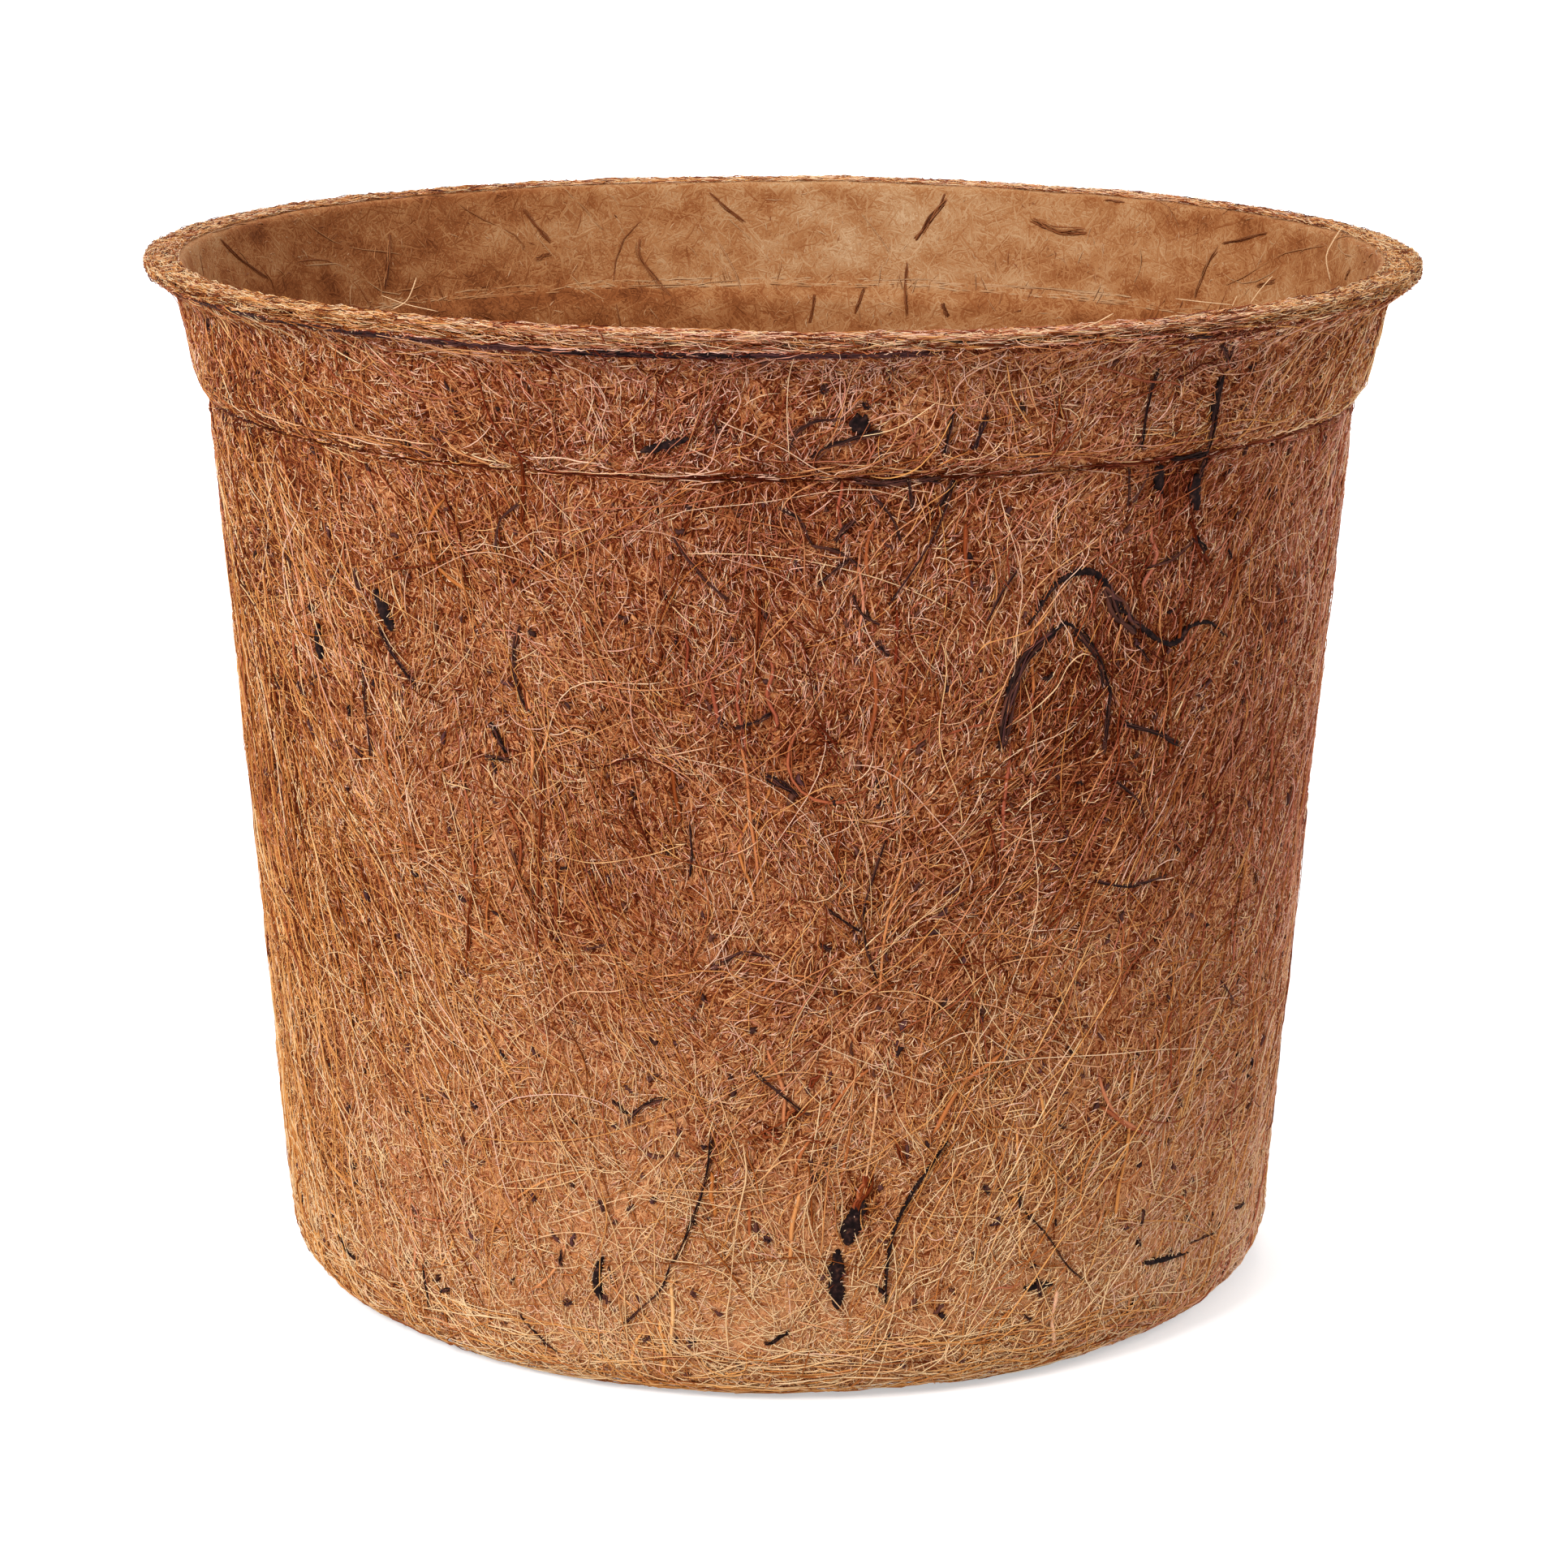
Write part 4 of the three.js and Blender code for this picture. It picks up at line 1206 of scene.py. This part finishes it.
def felt_material(name, stops, contrast, relief):
    """Pressed fibre: short dashes laid over each other in several directions, each with its own tone and
    painted shade towards its edges.
    """
    material, tree, shader = material_with_nodes(name)
    size = tree.nodes.new("ShaderNodeVectorMath")
    size.operation = "MULTIPLY"
    feed(tree, size, {0: map_place(tree), 1: (GIRTH, skin.end, 1)})
    curl = tree.nodes.new("ShaderNodeTexNoise")
    curl.noise_dimensions = "2D"
    feed(tree, curl, {"Scale": 0.5, "Vector": size.outputs["Vector"]})
    bent = tree.nodes.new("ShaderNodeVectorMath")
    bent.operation = "MULTIPLY_ADD"
    feed(tree, bent, {0: curl.outputs["Color"], 1: (DASH_CURL, DASH_CURL, 0), 2: size.outputs["Vector"]})
    top, tone, gap = dashes(tree, bent.outputs["Vector"], DASH_ANGLES[0])
    for angle in DASH_ANGLES[1:]:
        height, shade, edge = dashes(tree, bent.outputs["Vector"], angle)
        over = math_node(tree, "GREATER_THAN", height, top)
        tone = picked(tree, over, tone, shade)
        gap = picked(tree, over, gap, edge)
        top = math_node(tree, "MAXIMUM", top, height)
    patch = tree.nodes.new("ShaderNodeAttribute")
    patch.attribute_name = "shade"
    # Painted shade towards the edges of the dashes
    lit = math_node(tree, "MULTIPLY_ADD", gap, -GAP_PAINTED_SHADE, tone)
    lit = math_node(tree, "MULTIPLY_ADD", lit, contrast, 0.5 - MEAN_DASH * contrast)
    colour = ramp(tree, stops, math_node(tree, "ADD", lit, patch.outputs["Fac"]))
    feed(tree, shader, {"Base Color": colour, "Roughness": 0.7, "Specular IOR Level": DULL})
    bumped(tree, shader, math_node(tree, "SUBTRACT", top, gap), relief)
    return material


def husk_material():
    """Dark husk with lighter threads, dull and rough."""
    material, tree, shader = material_with_nodes("dark_husk")
    place = tree.nodes.new("ShaderNodeTexCoord")
    threads = tree.nodes.new("ShaderNodeTexNoise")
    feed(tree, threads, {"Scale": 1600.0, "Detail": 4.0, "Vector": place.outputs["Object"]})
    colour = ramp(tree, HUSK_COLOURS, threads.outputs["Fac"])
    feed(tree, shader, {"Base Color": colour, "Roughness": 0.75, "Specular IOR Level": DULL})
    bumped(tree, shader, threads.outputs["Fac"], 0.6)
    return material


add_camera()
fibre_materials = {
    "coir": fibre_material("coir_fibre", GOLDEN, REDDISH, 0.05),
    "dark": fibre_material("dark_coir_fibre", DARK_BROWN, DARK_PURPLE, 0.04),
    "lining": fibre_material("lining_fibre", LINING_COLOURS, LINING_BROWN, 0.1),
}
dark_husk = husk_material()
felt = felt_material("coir_felt", FELT_COLOURS, 1.0, 0.8)
lining = felt_material("coir_lining", LINING_COLOURS, 0.28, 0.3)

# The two plies and their base discs
outer_felt = felt_sheet("outer_felt", 0, S_SPLIT - SPLIT_GAP / 2, OUTER_PATCHES)
finished(outer_felt, felt, "coir_felt", "outer_wall_ply")
inner_felt = felt_sheet("inner_felt", S_SPLIT + SPLIT_GAP / 2, skin.end, INNER_PATCHES)
finished(inner_felt, lining, "coir_lining", "inner_wall_ply")
outer_disc = felt_disc("outer_base_felt", 0, OUTER_FOOT - DISC_GAP, False)
finished(outer_disc, felt, "coir_felt", "outer_base_disc")
inner_disc = felt_disc("inner_base_felt", FELT_THICKNESS - PLY_THICKNESS, INNER_FOOT - DISC_GAP, True)
finished(inner_disc, lining, "coir_lining", "inner_base_disc")


def arc(first, last):
    """Two angles round the pot, given in degrees."""
    return math.radians(first), math.radians(last)


# Fibres of the outside
# Strands: name, seed, zone, look, count, lengths, steps, lifts, heading and the share that is aligned to it
WALL = (S_WALL_FOOT, S_CREASE - 0.1)
COLLAR = (S_CREASE + 0.35, S_LIP)
CREASE = (S_CREASE - 0.3, S_CREASE + 0.3)
COLLAR_EDGE = (S_CREASE + 0.8, S_CREASE + 2.8)
FOOT = (S_WALL_FOOT, S_CORNER + 5)
MAT = Look(0.46, 0.44, (0.09, 0.17), 0.26)
HATCH = Look(0.5, 0.42, (0.08, 0.14), 0.25)
CURL = Look(0.51, 0.3, (0.1, 0.16), 0.18)
LONG = Look(0.47, 0.26, (0.09, 0.16), 0.22)
FINE = Look(0.58, 0.2, (0.07, 0.12), 0.14)
FINE_AROUND = arc(-190, 30)
RED_BROWN = Look(0.14, 0.5, (0.12, 0.26), 0.08)
RIBBON = Look(0.3, 0.45, (0.35, 0.7), 0.1, flatness=0.35)
UPRIGHT = Look(0.44, 0.26, (0.1, 0.18), 0.15)
MATTED = ((31, "wall", WALL, 8500, 0.75), (32, "collar", COLLAR, 1400, 0.5))
for seed, name, zone, tufts, combed in MATTED:
    mat(
        f"{name}_mat", seed, zone, MAT, tufts, 12,
        length=(0.9, 3.0), steps=2, curl=0.3, combed=combed, lift=(-0.26, 0.08),
    )
    mat(
        f"{name}_hatch", seed + 6, zone, HATCH, tufts, 11,
        length=(0.5, 1.6), steps=2, curl=0.4, combed=0.3, lift=(-0.05, 0.2),
    )
    mat(
        f"{name}_curls", seed + 2, zone, CURL, tufts // 8, 6,
        length=(2.5, 6), steps=4, curl=0.9, combed=0.4, lift=(-0.02, 0.24),
    )
    strands(f"{name}_strands", seed + 4, zone, LONG, tufts // 6, (8, 36), 12, (0.02, 0.22))
    strands(
        f"{name}_fine_strands", seed + 50, zone, FINE, 100 + tufts // 16,
        (6, 24), 10, (0.1, 0.26), around=FINE_AROUND,
    )
    strands(f"{name}_red_strands", seed + 8, zone, RED_BROWN, tufts // 12, (3, 16), 8, (0.0, 0.2))
strands("wall_ribbons", 49, WALL, RIBBON, 260, (5, 20), 9, (-0.1, 0.02), 0, 0.5)
# Combed strands: name, first and last angle in degrees, lean and count
COMBED = (
    ("left", -85, -12, -0.28, 170),
    ("right", 14, 80, 0.48, 110),
    ("back", 110, 235, 0.1, 300),
)
for seed, (name, first, last, lean, count) in enumerate(COMBED, 46):
    around = arc(first, last)
    strands(f"{name}_combed", seed, WALL, UPRIGHT, count, (12, 45), 12, (0.0, 0.2), lean, 0.9, around)
LEVEL = math.pi / 2
FOOT_LOOK = Look(0.37, 0.3, (0.11, 0.2), 0.2)
# Dark look for painted shade in the crease
CREASE_SHADE_LOOK = Look(0.1, 0.5, (0.1, 0.22), 0.1)
EDGE_LOOK = Look(0.5, 0.2, (0.1, 0.18))
strands("foot_strands", 37, FOOT, FOOT_LOOK, 900, (5, 18), 8, (0.0, 0.22), LEVEL, 0.6)
# Dark strands laid along the crease: painted shade in it
strands("crease_shade_strands", 38, CREASE, CREASE_SHADE_LOOK, 420, (3, 10), 5, (-0.2, -0.02), LEVEL, 1)
# Dark strands under the lip are painted shade in the band that the overhang shades, and the rim shade strands
# deepen it in front
UNDER_RIM = (S_LIP - 1.3, S_LIP - 0.3)
SHADED_LOOK = Look(1.0, 0.4, (0.1, 0.22), 0.12, kind="dark")
SHADED = arc(-64, 10)
strands("under_lip_shade_strands", 36, UNDER_RIM, SHADED_LOOK, 420, (3, 9), 5, (-0.1, 0.04), LEVEL, 1, SHADED)
DEEP_SHADE = arc(-20, -3)
DEEP_LOOK = Look(0.62, 0.5, (0.12, 0.24), 0.15, kind="dark")
strands("rim_shade_strands", 88, UNDER_RIM, DEEP_LOOK, 110, (3, 8), 5, (-0.06, 0.06), LEVEL, 1, DEEP_SHADE)
strands("edge_strands", 39, COLLAR_EDGE, EDGE_LOOK, 120, (4, 14), 7, (0.05, 0.2), LEVEL, 0.85)

# Fibres of the rim, the inside and the base
RIM = (S_LIP - 0.2, S_TOP + 4.2)
INSIDE = (S_TOP + 4.0, S_FLOOR + 3)
LEDGE = (S_LEDGE - 1.2, S_LEDGE)
RIM_LOOK = Look(0.54, 0.3, (0.07, 0.13), 0.3)
RIM_GAP_SHADE_LOOK = Look(0.08, 0.4, (0.08, 0.15), 0.08)
LINING_LOOK = Look(0.55, 0.3, (0.16, 0.3), 0.17, flatness=0.4, kind="lining")
LINING_LONG = Look(0.64, 0.2, (0.14, 0.26), 0.08, flatness=0.4, kind="lining")
LEDGE_HIGHLIGHT_LOOK = Look(0.74, 0.0, (0.24, 0.4), 0.06, flatness=0.4, kind="lining")
strands("rim_strands", 41, RIM, RIM_LOOK, 17000, (1.5, 6), 2, (-0.14, 0.06), LEVEL, 0.65)
# Dark fibres among those of the rim: painted shade in the gaps between them
strands("rim_gap_shade", 87, RIM, RIM_GAP_SHADE_LOOK, 850, (1.5, 6), 3, (-0.02, 0.06), LEVEL, 0.8)
mat(
    "inside_mat", 42, INSIDE, LINING_LOOK, 3600, 6,
    length=(2, 6), steps=2, curl=0.5, combed=0.5, lift=(-0.36, -0.26),
)
strands("inside_strands", 43, INSIDE, LINING_LONG, 420, (8, 30), 9, (-0.34, -0.22))
# Pale strands along the inside ledge: a painted highlight on its edge
strands("ledge_highlight_strands", 40, LEDGE, LEDGE_HIGHLIGHT_LOOK, 700, (3, 12), 6, (-0.4, -0.28), LEVEL, 1)
BASE_LOOK = Look(0.44, 0.4, (0.16, 0.28), 0.14)
disc_mat("underside_mat", 44, 0, -1, OUTER_FOOT + 2, 5500, BASE_LOOK)
disc_mat("floor_mat", 45, FELT_THICKNESS, 1, INNER_FOOT + 2, 5500, LINING_LOOK)

# What the photograph shows singly
DARK = Look(0.62, 0.45, (0.2, 0.8), 0.25, flatness=0.7, kind="dark")
BROWN = Look(0.13, 0.55, (0.6, 1.5), 0.08, flatness=0.6)
PALE = Look(0.6, 0.14, (0.2, 0.3), 0.06)
INSIDE_DARK = Look(0.27, 0.6, (0.25, 0.6), 0.12, flatness=0.4, kind="lining")
INSIDE_PALE = Look(0.74, 0.2, (0.2, 0.3), 0.06, flatness=0.5, kind="lining")
traced_strands("brown_strips", 55, BROWN_ON_OUTSIDE, on_outside, 0.05, BROWN, 6)
traced_strands("dark_strands", 51, DARK_ON_OUTSIDE, on_outside, 0.15, DARK, 6)
traced_strands("pale_strands", 52, PALE_ON_OUTSIDE, on_outside, 0.26, PALE)
traced_strands("inside_dark_strands", 53, DARK_ON_INSIDE, on_inside, -0.22, INSIDE_DARK, 7)
traced_strands("inside_pale_strands", 54, PALE_ON_INSIDE, on_inside, -0.24, INSIDE_PALE)
rim_strays("rim_strays", RIM_STRAYS)
for seed, (node, form) in enumerate(HUSK.items(), 60):
    husk_piece(node, *form, seed)

# The like on the other sides, and small flecks all round
UNSEEN = arc(88, 272)
NEAR_SIDE = arc(-75, 75)
SPECKLED = (S_CORNER, S_LIP - 2)
FAR_DARK = Look(0.6, 0.5, (0.2, 0.45), 0.3, flatness=0.7, kind="dark")
FAR_SPECK = Look(0.45, 0.5, (0.5, 1.2), 0.25, flatness=0.5, kind="dark")
FLECK = Look(0.75, 0.5, (0.3, 0.8), 0.25, flatness=0.5, kind="dark")
scattered("far_strands", 81, SPECKLED, FAR_DARK, UNSEEN, 70, (5, 20), 0.13)
scattered("far_specks", 82, SPECKLED, FAR_SPECK, UNSEEN, 60, (0.8, 3), 0.14)
scattered("flecks", 84, SPECKLED, FLECK, (0, TURN), 1400, (0.5, 2.2), -0.04, 5)
scattered("near_inside_strands", 83, INSIDE, INSIDE_DARK, NEAR_SIDE, 30, (5, 18), -0.26)


# Studio

FLOOR_REACH = 3000.0
FLOOR_DROP = 0.4  # under the foot of the pot


def add_floor():
    """A pale floor that keeps the pot's shadow and fades to white away from it."""
    corners = FLOOR_REACH * np.array([(-1, -1, 0), (1, -1, 0), (1, 1, 0), (-1, 1, 0)])
    corners[:, 2] = -FLOOR_DROP
    floor = mesh_object("floor", corners, [np.array([[0, 1, 2, 3]])])
    material, tree, shader = material_with_nodes("floor")
    place = tree.nodes.new("ShaderNodeTexCoord")
    away = tree.nodes.new("ShaderNodeVectorMath")
    away.operation = "LENGTH"
    feed(tree, away, {0: place.outputs["Object"]})
    fade = tree.nodes.new("ShaderNodeMapRange")
    fade.interpolation_type = "SMOOTHSTEP"
    feed(tree, fade, {
        "Value": away.outputs["Value"],
        "From Min": 0.15, "From Max": 0.8,
        "To Min": 0.45, "To Max": 1.0,
    })
    path = tree.nodes.new("ShaderNodeLightPath")
    glow = math_node(tree, "MULTIPLY", path.outputs["Is Camera Ray"], fade.outputs["Result"])
    feed(tree, shader, {
        "Base Color": (0.9, 0.9, 0.9, 1), "Roughness": 0.9,
        "Emission Color": (1, 1, 1, 1), "Emission Strength": glow,
    })
    floor.data.materials.append(material)


def add_world(strength):
    """Even light from all round, and plain white where it is seen directly or in a reflection."""
    world = bpy.data.worlds.new("studio")
    bpy.context.scene.world = world
    world.use_nodes = True
    tree = world.node_tree
    path = tree.nodes.new("ShaderNodeLightPath")
    seen = path.outputs["Is Camera Ray"]
    for other in ("Is Glossy Ray", "Is Transmission Ray"):
        seen = math_node(tree, "MAXIMUM", seen, path.outputs[other])
    level = tree.nodes.new("ShaderNodeMapRange")
    feed(tree, level, {"Value": seen, "To Min": strength, "To Max": 1.0})
    feed(tree, tree.nodes["Background"], {"Color": (1, 1, 1, 1), "Strength": level.outputs["Result"]})


def add_light(name, place, aim, size, power):
    """A round lamp at a place in metres, aimed at another."""
    data = bpy.data.lights.new(name, "AREA")
    data.shape = "DISK"
    data.size = size
    data.energy = power
    light = bpy.data.objects.new(name, data)
    bpy.context.scene.collection.objects.link(light)
    back = np.array(place) - np.array(aim)
    back /= np.linalg.norm(back)
    right = np.cross([0, 0, 1], back)
    right /= np.linalg.norm(right)
    turn = Matrix(np.stack([right, np.cross(back, right), back], 1).tolist())
    light.matrix_world = Matrix.Translation(place) @ turn.to_4x4()


POT_MIDDLE = (0, 0, 0.06)
add_floor()
add_world(0.52)
add_light("left", (-0.52, -0.68, 0.62), POT_MIDDLE, 0.4, 8.8)
add_light("right", (0.85, -0.05, 0.6), POT_MIDDLE, 0.5, 2.6)
add_light("back", (0.1, 0.7, 0.9), POT_MIDDLE, 0.5, 3.5)

bpy.context.scene.view_settings.view_transform = "Standard"
